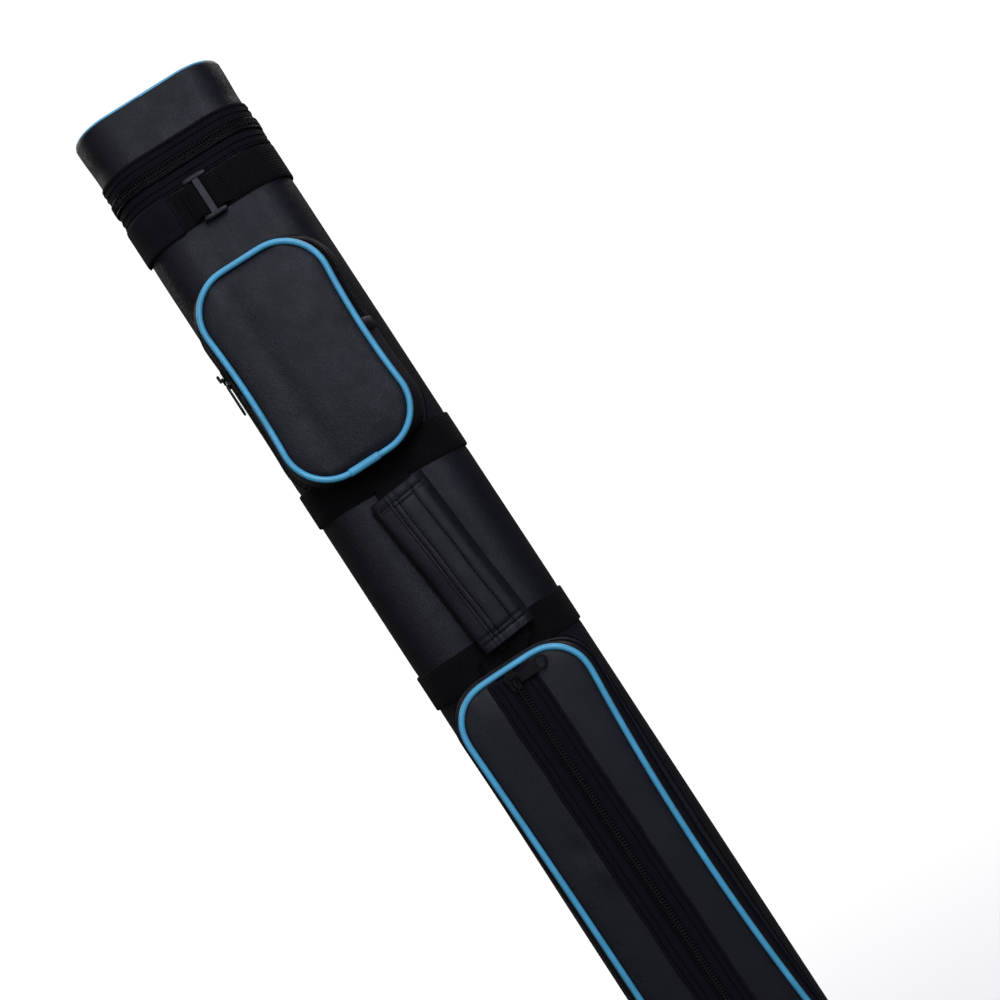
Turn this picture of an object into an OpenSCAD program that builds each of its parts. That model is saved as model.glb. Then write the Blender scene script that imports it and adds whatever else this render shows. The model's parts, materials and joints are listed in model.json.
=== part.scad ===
// Oval hard case for two cues, standing on its base with the lid up.
// +Z runs along the case, -Y is the front with the pockets, and the origin is
// the centre of the base. Millimetres.

/* [Case] */
// Width of the case over the cover
case_w = 108; // [100:1:120]
// Depth of the case over the cover
case_d = 56; // [54:1:62]
// Height of the closed case
case_h = 856; // [840:1:900]
// Height of the line where the lid parts from the case
split_z = 805.5; // [803:0.5:808]
// Thickness of the leatherette cover
cover_t = 1.2; // [1:0.1:1.6]
// Thickness of the stiff tube wall
shell_t = 1.8; // [1.5:0.1:2]
// Thickness of the sky-blue piping
piping_d = 4; // [3:0.5:5]

/* [Cue tubes] */
// Bore radius of a butt tube
butt_r = 17; // [15:0.5:17]
// Bore radius of a shaft tube
shaft_r = 10.8; // [9:0.2:10.8]
// Distance of each butt tube from the middle, along the width
butt_x = 31; // [30.5:0.5:31]
// Distance of each shaft tube from the middle, along the depth
shaft_y = 12.2; // [11.9:0.1:12.2]
// Height of the closed bottom of the bores
bore_z = 12; // [11:1:20]
// Height of the mouths of the bores
mouth_z = 800; // [790:1:802]

/* [Webbing] */
// Width of the webbing
web_w = 25; // [20:1:28]
// Thickness of the webbing
web_t = 1.6; // [1:0.1:1.8]
// Height of the middle of the upper band
upper_band_z = 776.5; // [776:0.5:777]
// Height of the middle of the band that holds the grip's upper end
grip_band_top_z = 570; // [568:1:572]
// Height of the middle of the band that holds the grip's lower end
grip_band_low_z = 433; // [431:1:435]
// Height of the middle of the lower band
lower_band_z = 17; // [16:0.5:20]

/* [Upper pocket] */
// Height of the bottom of the upper pocket
up_z0 = 576; // [575:1:580]
// Height of the top of the upper pocket
up_z1 = 724; // [715:1:726]
// How far the upper pocket's front stands out from the case
up_deep = 26; // [22:1:30]
// Height of the fold where the open flap bends
fold_z = 650; // [645:1:655]

/* [Lower pocket] */
// Height of the bottom of the lower pocket
low_z0 = 68.5; // [60:0.5:75]
// Height of the top of the lower pocket
low_z1 = 421; // [410:1:423]
// How far the lower pocket's front stands out from the case
low_deep = 22; // [18:1:26]
// Sideways lean of the long zip, in degrees
zip_lean = 0.72; // [0:0.02:1]

/* [Grip] */
// Length of the grip
grip_l = 118; // [114:1:118]
// Width of the grip
grip_w = 40; // [34:1:42]
// Thickness of the padded grip
grip_t = 13; // [10:0.5:14]
// Tilt of the grip, in degrees
grip_tilt = 4.8; // [0:0.1:5]

/* [Hidden] */
$fn = 64;

leather = "#25272c";
webbing = "#14161c";
metal = "#303238";
sky = "#62aed0";
foam = "#3a3b40";
core = "#1a1b1e";
tube = "#232428";

gap = 0.3;                       // running clearance between soft pieces
slack = 0.05;                    // sewn pieces stand this far apart
loft_gap = 0.25;                 // the same on the leaning side walls of the upper pocket
front_y = case_d / 2;            // distance of the case's front from its middle
wall = cover_t + shell_t;
liner_t = 1;                     // wall of a butt tube
thin_liner_t = 0.8;              // wall of a shaft tube
tape_t = 0.8;                    // zip tape
tape_w = 15.5;                   // height of one side of a zip tape
coil_w = 2.8;                    // height of one side of a zip coil
coil_d = 2.6;                    // how thick a coil stands
skin = 0.05;                     // thickness of the slabs that hulls are made from
panel_t = 2;                     // front panels of the pockets
panel_in = 0.5;                  // the panels stop this far inside the pockets' outlines
gusset_t = 1.8;                  // side walls of the pockets
cap_t = 2.4;                     // rigid top of the lid
base_t = 3.6;                    // top of the rigid base plate
rim_in = 2;                      // width of the piping round the base
pad_t = 6;                       // foam pads
puller_l = 26;                   // length of a zip puller
puller_t = 1.6;                  // thickness of a zip puller
puller_w = 6.6;                  // width of a zip puller
end_r = 4.7;                     // radius of a puller's round end

// ---- shapes used by several pieces ----

module stadium(w, d) {
    square([w - d, d], center = true);
    translate([(w - d) / 2, 0]) circle(d = d);
    translate([(d - w) / 2, 0]) circle(d = d);
}

// A solid oval that is inset from the outside of the case
module oval(inset, z0, z1) {
    translate([0, 0, z0]) linear_extrude(z1 - z0) stadium(case_w - 2 * inset, case_d - 2 * inset);
}

// A wall that follows the oval between two insets
module ring(outer, inner, z0, z1) {
    translate([0, 0, z0]) linear_extrude(z1 - z0) difference() {
        stadium(case_w - 2 * outer, case_d - 2 * outer);
        stadium(case_w - 2 * inner, case_d - 2 * inner);
    }
}

// Drawn in the X-Z plane and given depth from y0 forward to y1
module forward(y0, y1) {
    translate([0, -y0, 0]) rotate([90, 0, 0]) linear_extrude(y1 - y0) children();
}

function mix(a, b, t) = a + (b - a) * t;
function arc(x, z, r, a0, steps = 6) =
    [for (i = [0:steps]) [x + r * cos(a0 + 90 * i / steps), z + r * sin(a0 + 90 * i / steps)]];

// A pocket's outline: [left top, right top, left bottom, right bottom, z0, z1, r top, r bottom,
// left waist, right waist]
function outline(p, ins = 0) =
    let (lt = p[0] + ins, rt = p[1] - ins, lb = p[2] + ins, rb = p[3] - ins, z0 = p[4] + ins)
    let (z1 = p[5] - ins, r1 = p[6] - ins, r0 = p[7] - ins, n = 6)
    concat(
        arc(rb - r0, z0 + r0, r0, -90),
        [for (i = [1:n - 1]) let (u = i / n)
            [mix(rb, rt, u) - 4 * p[9] * u * (1 - u), mix(z0 + r0, z1 - r1, u)]],
        arc(rt - r1, z1 - r1, r1, 0),
        arc(lt + r1, z1 - r1, r1, 90),
        [for (i = [n - 1:-1:1]) let (u = i / n)
            [mix(lb, lt, u) + 4 * p[8] * u * (1 - u), mix(z0 + r0, z1 - r1, u)]],
        arc(lb + r0, z0 + r0, r0, 180));

function blend_outline(a, b, t) = [for (i = [0:9]) mix(a[i], b[i], t)];

// A stretch of a pocket between two depths, with side walls that lean from base to front
module pocket_slab(base, face, y_base, y_face, y0, y1, ins) {
    hull() {
        for (y = [y0, y1 - skin])
            forward(y, y + skin)
                polygon(outline(blend_outline(base, face, (y - y_base) / (y_face - y_base)), ins));
    }
}

module above(z) { translate([-200, -200, z]) cube([400, 400, 600]); }
module below(z) { translate([-200, -200, z - 600]) cube([400, 400, 600]); }

// A webbing band round the case, tilted about the depth axis
module band(z, tilt = 0) {
    intersection() {
        ring(-web_t, 0, z - 40, z + 40);
        translate([0, 0, z]) rotate([0, tilt, 0]) cube([300, 300, web_w], center = true);
    }
}
// The room that a band takes from the side wall of a pocket sewn over it
module band_room(z, tilt = 0) {
    intersection() {
        oval(-web_t - slack, z - 40, z + 40);
        translate([0, 0, z]) rotate([0, tilt, 0]) cube([300, 300, web_w + 2 * slack], center = true);
    }
}

// ---- tube, core and base ----

module body_tube() { color(metal) ring(cover_t, wall, base_t, split_z - gap); }
module body_cover() { color(leather) ring(0, cover_t, base_t, split_z - tape_w); }

module cue_holes(z0, z1) {
    for (s = [-1, 1]) {
        translate([s * butt_x, 0, z0]) cylinder(r = butt_r + liner_t, h = z1 - z0);
        translate([0, s * shaft_y, z0]) cylinder(r = shaft_r + thin_liner_t, h = z1 - z0);
    }
}

core_inset = wall + 0.2;
cap_z = mouth_z - 25;            // underside of the divider's top plate
module divider_core() {
    color(core) difference() {
        oval(core_inset, bore_z, cap_z);
        cue_holes(bore_z - 1, cap_z + 1);
    }
}
module divider_top() {
    color(core) difference() {
        oval(core_inset, cap_z, mouth_z);
        cue_holes(cap_z - 1, mouth_z + 1);
    }
}

module liner(r, t) {
    color(tube) translate([0, 0, bore_z]) difference() {
        cylinder(r = r + t, h = mouth_z - bore_z);
        translate([0, 0, -1]) cylinder(r = r, h = mouth_z - bore_z + 2);
    }
}
module butt_tube_left() { translate([-butt_x, 0, 0]) liner(butt_r, liner_t); }
module butt_tube_right() { translate([butt_x, 0, 0]) liner(butt_r, liner_t); }
module shaft_tube_front() { translate([0, -shaft_y, 0]) liner(shaft_r, thin_liner_t); }
module shaft_tube_rear() { translate([0, shaft_y, 0]) liner(shaft_r, thin_liner_t); }

module bottom_pad() { color(foam) oval(core_inset, base_t, bore_z); }
module base_plate() { color(metal) oval(rim_in, cover_t, base_t); }
module base_cover() { color(leather) oval(rim_in, 0, cover_t); }
module base_piping() { color(sky) ring(0, rim_in, 0, base_t); }

// ---- zip between the case and the lid ----

coil_out = 0.6;                  // how far the coil stands out past the tape
module case_zip_tape() { color(webbing) ring(0.4, cover_t, split_z - tape_w, split_z - gap); }
module case_zip_coil() { color(webbing) ring(-coil_out, 0.4, split_z - coil_w, split_z - gap); }
module lid_zip_tape() { color(webbing) ring(0.4, cover_t, split_z + gap, split_z + tape_w); }
module lid_zip_coil() { color(webbing) ring(-coil_out, 0.4, split_z + gap, split_z + coil_w); }

hinge_w = 44;                    // width of the fabric hinge strip at the back
module lid_hinge() {
    color(webbing) translate([-hinge_w / 2, front_y + coil_out + 0.1, split_z - 9]) cube([hinge_w, 0.8, 18]);
}

// ---- lid ----

module lid_shell() {
    color(metal) difference() {
        oval(cover_t, split_z + gap, case_h - cover_t);
        oval(wall, split_z - 5, case_h - cover_t - cap_t);
    }
}
module lid_cover() { color(leather) ring(0, cover_t, split_z + tape_w, case_h - piping_d); }
module lid_top_panel() { color(leather) oval(piping_d - 1, case_h - cover_t, case_h); }
module lid_piping() { color(sky) ring(-0.6, cover_t, case_h - piping_d, case_h - 0.5); }
module lid_pad() {
    z1 = case_h - cover_t - cap_t;
    color(foam) oval(core_inset, z1 - pad_t, z1);
}

// ---- webbing bands ----

band_tilt = 2.6;                 // the band at the grip's upper end drops to the right
lower_tilt = -3;                 // the lower band rises to the right
module upper_band() { color(webbing) band(upper_band_z); }
module grip_band_top() { color(webbing) band(grip_band_top_z, band_tilt); }
module grip_band_low() { color(webbing) band(grip_band_low_z); }
module lower_band() { color(webbing) band(lower_band_z, lower_tilt); }

patch_t = 1;                     // the smooth patch on the left of the upper band
patch_w = 28;                    // its width across the band
patch_x = -21;                   // its right edge
module upper_band_patch() {
    z0 = upper_band_z - patch_w / 2;
    color(leather) intersection() {
        ring(-web_t - patch_t, -web_t, z0, z0 + patch_w);
        forward(-5, 60) translate([patch_x - 50, z0]) square([50, patch_w]);
    }
}
// The doubled end of the lower band, lying on it to the right of its slide
tail_x = 9.5;
tail_l = 6;
module lower_band_tail() {
    color(webbing) translate([tail_x, 0, lower_band_z - 0.5]) rotate([0, lower_tilt, 0])
        translate([0, -front_y - 2 * web_t, -web_w / 2]) cube([tail_l, web_t, web_w]);
}

// ---- upper pocket ----

up_y = front_y + up_deep;        // depth of the upper pocket's face
up_base_y = 10;                  // depth where its base outline is drawn
up_face = [-47.2, 38.9, -46.6, 38.4, up_z0, up_z1, 29, 29, 1.6, 2.1];
up_base = [-51.5, 46.4, -51, 46.4, up_z0 - 3, up_z1 + 4, 30, 30, 1.2, 1.6];
up_split_y = 44;                 // depth of the zip line

module up_slab(y0, y1, ins) { pocket_slab(up_base, up_face, up_base_y, up_y, y0, y1, ins); }
module up_wall(y0, y1, outer, inner) {
    difference() {
        up_slab(y0, y1, outer);
        up_slab(y0 - 1, y1 + 1, inner);
    }
}

module upper_pocket_gusset() {
    color(leather) difference() {
        up_wall(up_base_y, up_y - panel_t, 0, gusset_t);
        oval(0, up_z0 - 20, up_z1 + 20);
        band_room(grip_band_top_z, band_tilt);
        intersection() {
            above(fold_z);
            forward(up_split_y - gap, up_y + 5) square([300, 2000], center = true);
        }
    }
}
module up_panel() { forward(up_y - panel_t, up_y) polygon(outline(up_face, panel_in)); }
module upper_pocket_front() {
    color(leather) intersection() {
        up_panel();
        below(fold_z);
    }
}
module flap_front() {
    color(leather) intersection() {
        up_panel();
        above(fold_z + gap);
    }
}
module flap_gusset() {
    color(leather) intersection() {
        up_wall(up_split_y + gap, up_y - panel_t, 0, gusset_t);
        above(fold_z + gap);
    }
}

// Piping round the face of a pocket
module face_ring(face, y, out, up) {
    forward(y - panel_t, y + up) difference() {
        polygon(outline(face, -out));
        polygon(outline(face, panel_in));
    }
}
piping_up = 1.6;                 // how far the piping stands out from the pocket's face
sleeve_t = 0.3;                  // wall of the sleeve that joins the piping's ends
module upper_ring() { face_ring(up_face, up_y, piping_d / 2, piping_up); }
joiner_l = 21;                   // length of the sleeve that joins the piping's ends
joiner_x = -8;                   // place of the upper pocket's joiner
module joiner_box(x, z) { translate([x - joiner_l / 2, -100, z - 5]) cube([joiner_l, 200, 12]); }
module upper_pocket_piping() {
    color(sky) difference() {
        intersection() {
            upper_ring();
            below(fold_z);
        }
        joiner_box(joiner_x, up_z0);
    }
}
module flap_piping() {
    color(sky) intersection() {
        upper_ring();
        above(fold_z + gap);
    }
}

up_tape_w = 9;                   // visible width of each side of the pocket's zip tape
module upper_pocket_tape() {
    color(webbing) intersection() {
        up_wall(up_split_y - up_tape_w, up_split_y - gap, -tape_t, -loft_gap);
        above(fold_z + gap);
    }
}
module flap_tape() {
    color(webbing) intersection() {
        up_wall(up_split_y + gap, up_y - panel_t - gap, -tape_t, -loft_gap);
        above(fold_z + gap);
    }
}
module upper_pocket_coil() {
    color(webbing) intersection() {
        up_wall(up_split_y - coil_w, up_split_y - gap, -coil_d, -tape_t - slack);
        above(fold_z + gap);
    }
}
module flap_coil() {
    color(webbing) intersection() {
        up_wall(up_split_y + gap, up_split_y + coil_w, -coil_d, -tape_t - slack);
        above(fold_z + gap);
    }
}
tab_h = 8;                       // height of the leather tabs at the zip's ends
tab_t = 1.2;                     // thickness of the tabs
module upper_pocket_tabs() {
    color(leather) intersection() {
        up_wall(up_split_y - tab_h, up_split_y + 6, -tab_t, -loft_gap);
        translate([-100, -200, fold_z - tab_h]) cube([200, 400, tab_h]);
    }
}

// ---- lower pocket ----

low_y = front_y + low_deep;
low_base_y = 10;
low_face = [-48.9, 40, -45.5, 45.8, low_z0, low_z1, 25, 20, 1.4, 8.1];
low_base = [-51, 47, -49, 49.5, low_z0 - 3, low_z1 + 2.5, 27, 22, 0.8, 3];
low_mid_z = (low_z0 + low_z1) / 2;
zip_x = -2.6;                    // where the long zip crosses the pocket's middle height

module low_slab(y0, y1, ins) { pocket_slab(low_base, low_face, low_base_y, low_y, y0, y1, ins); }
module lower_pocket_gusset() {
    color(leather) difference() {
        low_slab(low_base_y, low_y - panel_t, 0);
        low_slab(low_base_y - 1, low_y - panel_t + 1, gusset_t);
        oval(0, low_z0 - 20, low_z1 + 20);
        band_room(grip_band_low_z);
    }
}

// A strip along the leaning zip, from x0 to x1 across it
module zip_strip(x0, x1, z0, z1) {
    translate([zip_x, low_mid_z]) rotate(zip_lean) translate([x0, z0 - low_mid_z]) square([x1 - x0, z1 - z0]);
}
module low_half(x0, x1) {
    color(leather) forward(low_y - panel_t, low_y) intersection() {
        polygon(outline(low_face, panel_in));
        zip_strip(x0, x1, low_z0 - 30, low_z1 + 30);
    }
}
module lower_pocket_left() { low_half(-100, -gap); }
module lower_pocket_right() { low_half(gap, 100); }

low_joiner_x = 0;                // place of the lower pocket's joiner
module lower_pocket_piping() {
    color(sky) difference() {
        face_ring(low_face, low_y, piping_d / 2, piping_up);
        joiner_box(low_joiner_x, low_z0);
    }
}
module pocket_joiners() {
    color(sky) for (j = [[up_face, up_y, joiner_x, up_z0], [low_face, low_y, low_joiner_x, low_z0]])
        intersection() {
            face_ring(j[0], j[1], piping_d / 2 + sleeve_t, piping_up + sleeve_t);
            joiner_box(j[2], j[3]);
        }
}
module lower_pocket_tapes() {
    color(webbing) forward(low_y, low_y + tape_t) intersection() {
        polygon(outline(low_face, 0.8));
        for (s = [[-tape_w, -gap], [gap, tape_w]])
            zip_strip(s[0], s[1], low_z0 - 30, low_z1 + 30);
    }
}
coil_end = 6;                    // the coil stops this far from the pocket's ends
module lower_pocket_coil() {
    color(webbing) forward(low_y + tape_t, low_y + coil_d) intersection() {
        polygon(outline(low_face, coil_end));
        zip_strip(-3, 3, low_z0, low_z1);
    }
}
module lower_pocket_stops() {
    color(metal) forward(low_y + tape_t, low_y + coil_d) {
        zip_strip(-3.6, 3.6, low_z0 + 3.2, low_z0 + 5.6);
        zip_strip(-3.6, 3.6, low_z1 - 5.6, low_z1 - 3.2);
    }
}

// ---- zip sliders and pullers ----

slider_l = 13;                   // length of a slider
slider_w = 10;                   // width of a slider
slider_t = 2;                    // thickness of its outer plate
post_r = 1.2;                    // post that a puller turns on
post_h = 2.2;                    // height of the post under its cap
eye_r = 1.35;                    // hole of a puller's eye
run = 0.35;                      // gap between a slider and the coil

// A slider seen from above: it travels along Y, its wide shoulder is at +Y and its top is +Z
module slider() {
    color(metal) {
        linear_extrude(slider_t) polygon([
            [-3.4, -slider_l / 2], [3.4, -slider_l / 2], [4.2, 0], [slider_w / 2, 3.5],
            [slider_w / 2 - 0.8, slider_l / 2], [-slider_w / 2 + 0.8, slider_l / 2],
            [-slider_w / 2, 3.5], [-4.2, 0]]);
        cylinder(r = post_r, h = slider_t + post_h);
        translate([0, 0, slider_t + post_h]) cylinder(r = 2 * post_r, h = 0.8);
    }
}

// A flat puller that hangs towards -Y from an eye round the post, with a round end and a hole
module puller() {
    color(metal) difference() {
        linear_extrude(puller_t) {
            translate([-puller_w / 2, -puller_l + end_r]) square([puller_w, puller_l - end_r]);
            translate([0, -puller_l + end_r]) circle(r = end_r);
            circle(r = puller_w / 2);
        }
        translate([0, -puller_l + end_r, -1]) cylinder(r = end_r - 1.5, h = puller_t + 2);
        translate([0, 0, -1]) cylinder(r = eye_r, h = puller_t + 2);
    }
}

// Slider on the lid's zip: parked at the back right, on the case's right end
end_x = (case_w - case_d) / 2;
park_a = 30;                     // angle from the right side towards the back
module at_lid_zip() {
    translate([end_x, 0, split_z - 2.2]) rotate([0, 0, park_a])
        translate([front_y + coil_out + 0.9, 0, 0]) children();
}
module lid_zip_slider() { at_lid_zip() rotate([90, 0, 90]) rotate([0, 0, 90]) slider(); }
module lid_zip_puller() {
    at_lid_zip() translate([slider_t + 0.3, 0, 0]) rotate([90, 0, 90]) puller();
}

// Slider on the upper pocket's zip, on the left side wall
up_slider_z = 668;
up_slider_x = -51.2;             // underside of the slider, clear of the coil
wall_lean = 5.6;                 // the pocket's left wall leans in by this angle
module at_up_zip() {
    translate([up_slider_x, -up_split_y, up_slider_z]) rotate([0, 0, wall_lean]) children();
}
module upper_zip_slider() { at_up_zip() rotate([90, 0, -90]) slider(); }
module upper_zip_puller() {
    at_up_zip() translate([-slider_t - 0.3, 0, 0]) rotate([90, 0, -90]) puller();
}

// Slider at the top of the long zip, with its puller laid over to the right
low_slider_z = low_z1 - 8.5;
module at_low_zip() {
    translate([zip_x, -low_y - coil_d - run, low_mid_z]) rotate([0, -zip_lean, 0])
        translate([0, 0, low_slider_z - low_mid_z]) rotate([90, 0, 0]) children();
}
module lower_zip_slider() { at_low_zip() slider(); }
module lower_zip_puller() { at_low_zip() translate([0, 0, slider_t + 0.3]) rotate([0, 0, 90]) puller(); }

// ---- grip ----

grip_drop = 6.5;                 // the grip sits below the middle between its bands
grip_z = (grip_band_top_z + grip_band_low_z) / 2 - grip_drop;
grip_x = 4.6;
grip_y = front_y + web_t + gap;  // back of the grip
rail_t = 2.4;                    // webbing inside the grip
module at_grip() { translate([grip_x, -grip_y, grip_z]) rotate([0, -grip_tilt, 0]) children(); }

// A flat rounded bar along Z whose back lies at the origin
module grip_bar(w, t, l, y0) {
    translate([0, -y0 - t / 2, -l / 2]) linear_extrude(l) stadium(w, t);
}
module grip_cover() {
    color(leather) at_grip() difference() {
        grip_bar(grip_w, grip_t, grip_l, 0);
        grip_bar(grip_w - 3, grip_t - 3, grip_l + 2, 1.5);
    }
}
rail_y = -3.9;                   // back face of the webbing inside the grip
module grip_padding() {
    room = 0.2;                  // left free round the webbing
    color(foam) at_grip() difference() {
        grip_bar(grip_w - 3.2, grip_t - 3.2, grip_l - 2, 1.6);
        translate([-web_w / 2 - room, rail_y - rail_t - room, -grip_l])
            cube([web_w + 2 * room, rail_t + 2 * room, 2 * grip_l]);
    }
}
// The webbing runs through the grip and comes down at each end over a band
sewn_top = 17;                   // length sewn to the upper of the two bands
sewn_low = 11;                   // length sewn to the lower one
web_y = rail_y - rail_t;         // front face of the webbing inside the grip
module grip_webbing() {
    color(webbing) at_grip() {
        translate([-web_w / 2, web_y, -grip_l / 2 - 2]) cube([web_w, rail_t, grip_l + 4]);
        for (e = [[1, sewn_top], [-1, sewn_low]]) {
            translate([-web_w / 2, web_y, e[0] * (grip_l / 2 + 1.1) - 0.9]) cube([web_w, -web_y - 0.1, 1.8]);
            translate([-web_w / 2, -0.1 - web_t, e[0] * (grip_l / 2 + 0.2 + e[1] / 2) - e[1] / 2])
                cube([web_w, web_t, e[1]]);
        }
    }
}

// ---- tri-bar slides, each with the webbing that humps over its outer bars ----

slide_h = 30;                    // height of a slide
slide_w = 16;                    // width of a slide
rail_h = 3.4;                    // thickness of its end rails
bar_w = 3;                       // width of its three bars
module tri_slide() {
    y0 = front_y + web_t;
    color(metal) {
        for (s = [-1, 1])
            translate([-slide_w / 2, -y0 - slide_up, s * (slide_h - rail_h) / 2 - rail_h / 2])
                cube([slide_w, 3.6, rail_h]);
        for (x = [-1, 1])
            translate([x * (slide_w - bar_w) / 2 - bar_w / 2, -y0 - 3, -slide_h / 2 + rail_h])
                cube([bar_w, 2, slide_h - 2 * rail_h]);
        translate([-bar_w / 2, -y0 - slide_up, -slide_h / 2 + rail_h])
            cube([bar_w, 2.4, slide_h - 2 * rail_h]);
    }
}
hump_t = 1.4;                    // the webbing that passes over a slide's outer bars
hump_l = 9.2;                    // length of the webbing over one outer bar
hump_x = 7.4;                    // its middle, from the middle of the slide
hump_w = 22.8;                   // its width between the rails
slide_up = 4.6;                  // how far a slide stands out from the webbing
module hump() {
    color(webbing) for (s = [-1, 1])
        translate([s * hump_x - hump_l / 2, -front_y - web_t - slide_up, -hump_w / 2])
            cube([hump_l, hump_t, hump_w]);
}
module at_upper_slide() { translate([0, 0, upper_band_z]) children(); }
lower_buckle_x = -7;
module at_lower_slide() {
    translate([lower_buckle_x, 0, lower_band_z - 0.4]) rotate([0, lower_tilt, 0]) children();
}
module upper_buckle() { at_upper_slide() tri_slide(); }
module lower_buckle() { at_lower_slide() tri_slide(); }
module upper_band_hump() { at_upper_slide() hump(); }
module lower_band_hump() { at_lower_slide() hump(); }

body_tube();
body_cover();
divider_core();
divider_top();
butt_tube_left();
butt_tube_right();
shaft_tube_front();
shaft_tube_rear();
bottom_pad();
base_plate();
base_cover();
base_piping();
case_zip_tape();
case_zip_coil();
lid_hinge();
upper_band();
upper_band_patch();
grip_band_top();
grip_band_low();
lower_band();
lower_band_tail();
upper_pocket_gusset();
upper_pocket_front();
upper_pocket_piping();
upper_pocket_tape();
upper_pocket_coil();
upper_pocket_tabs();
pocket_joiners();
flap_front();
flap_gusset();
flap_piping();
flap_tape();
flap_coil();
lower_pocket_gusset();
lower_pocket_left();
lower_pocket_right();
lower_pocket_piping();
lower_pocket_tapes();
lower_pocket_coil();
lower_pocket_stops();
lid_shell();
lid_cover();
lid_top_panel();
lid_piping();
lid_zip_tape();
lid_zip_coil();
lid_pad();
lid_zip_slider();
lid_zip_puller();
upper_zip_slider();
upper_zip_puller();
lower_zip_slider();
lower_zip_puller();
grip_cover();
grip_padding();
grip_webbing();
upper_buckle();
lower_buckle();
upper_band_hump();
lower_band_hump();
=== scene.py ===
import json
import math
import random

import bmesh
import bpy
from mathutils import Euler, Matrix, Vector


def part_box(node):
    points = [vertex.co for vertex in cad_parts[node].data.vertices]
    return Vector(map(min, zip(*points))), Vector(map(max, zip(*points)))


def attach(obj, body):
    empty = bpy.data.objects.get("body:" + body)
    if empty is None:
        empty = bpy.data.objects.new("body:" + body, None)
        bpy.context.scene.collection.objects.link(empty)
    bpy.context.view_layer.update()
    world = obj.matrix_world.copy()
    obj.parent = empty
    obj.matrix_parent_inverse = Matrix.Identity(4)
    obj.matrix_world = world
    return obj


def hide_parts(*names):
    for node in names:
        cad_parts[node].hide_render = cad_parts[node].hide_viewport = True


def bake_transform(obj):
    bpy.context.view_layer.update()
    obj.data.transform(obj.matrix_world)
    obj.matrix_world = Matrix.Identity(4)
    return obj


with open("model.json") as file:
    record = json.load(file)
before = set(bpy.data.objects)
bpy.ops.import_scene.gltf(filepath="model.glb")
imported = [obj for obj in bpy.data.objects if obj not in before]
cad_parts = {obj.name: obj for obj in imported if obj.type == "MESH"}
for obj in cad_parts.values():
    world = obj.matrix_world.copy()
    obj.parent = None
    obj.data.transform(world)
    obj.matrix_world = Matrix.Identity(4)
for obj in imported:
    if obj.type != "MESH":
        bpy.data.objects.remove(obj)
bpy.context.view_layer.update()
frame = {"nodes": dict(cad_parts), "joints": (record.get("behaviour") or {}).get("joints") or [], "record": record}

MM = 0.001               # every size below is in millimetres, and make() turns it into metres

# ---- sizes that come from the frame ----


def edges(node):
    low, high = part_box(node)
    return [v / MM for v in low], [v / MM for v in high]


COVER_LOW, COVER_HIGH = edges("body_cover")
HALF_W = COVER_HIGH[0]
HALF_D = COVER_HIGH[1]
FLAT = HALF_W - HALF_D                      # half the flat stretch of the front and of the back
ARC = math.pi * HALF_D
LOOP = 4 * FLAT + 2 * ARC                   # once round the case
TAPE_LOW = COVER_HIGH[2]                    # lower edge of the lid's zip tape
SPLIT_Z = (edges("case_zip_coil")[1][2] + edges("lid_zip_coil")[0][2]) / 2
TAPE_HIGH = edges("lid_zip_tape")[1][2]
TOP_Z = edges("lid_piping")[1][2]
HINGE_HALF = edges("lid_hinge")[1][0]
SPLIT_GAP = 1.9                             # how far each leather stops short of the split
SKIN = 1.1                                  # thickness of the leatherette on the case
POCKET_SKIN = 1.2
UP_Y = -edges("upper_pocket_front")[0][1]   # how far the upper pocket's face lies in front
LOW_Y = -edges("lower_pocket_left")[0][1]
FOLD_Z = edges("upper_pocket_front")[1][2]

# ---- materials ----


def material(name, color, rough, metallic=0.0, specular=0.5, sheen=0.0, coat=0.0):
    mat = bpy.data.materials.new(name)
    mat.use_nodes = True
    shader = mat.node_tree.nodes["Principled BSDF"]
    shader.inputs["Base Color"].default_value = (*color, 1)
    shader.inputs["Roughness"].default_value = rough
    shader.inputs["Metallic"].default_value = metallic
    shader.inputs["Specular IOR Level"].default_value = specular
    shader.inputs["Sheen Weight"].default_value = sheen
    shader.inputs["Coat Weight"].default_value = coat
    return mat


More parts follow.
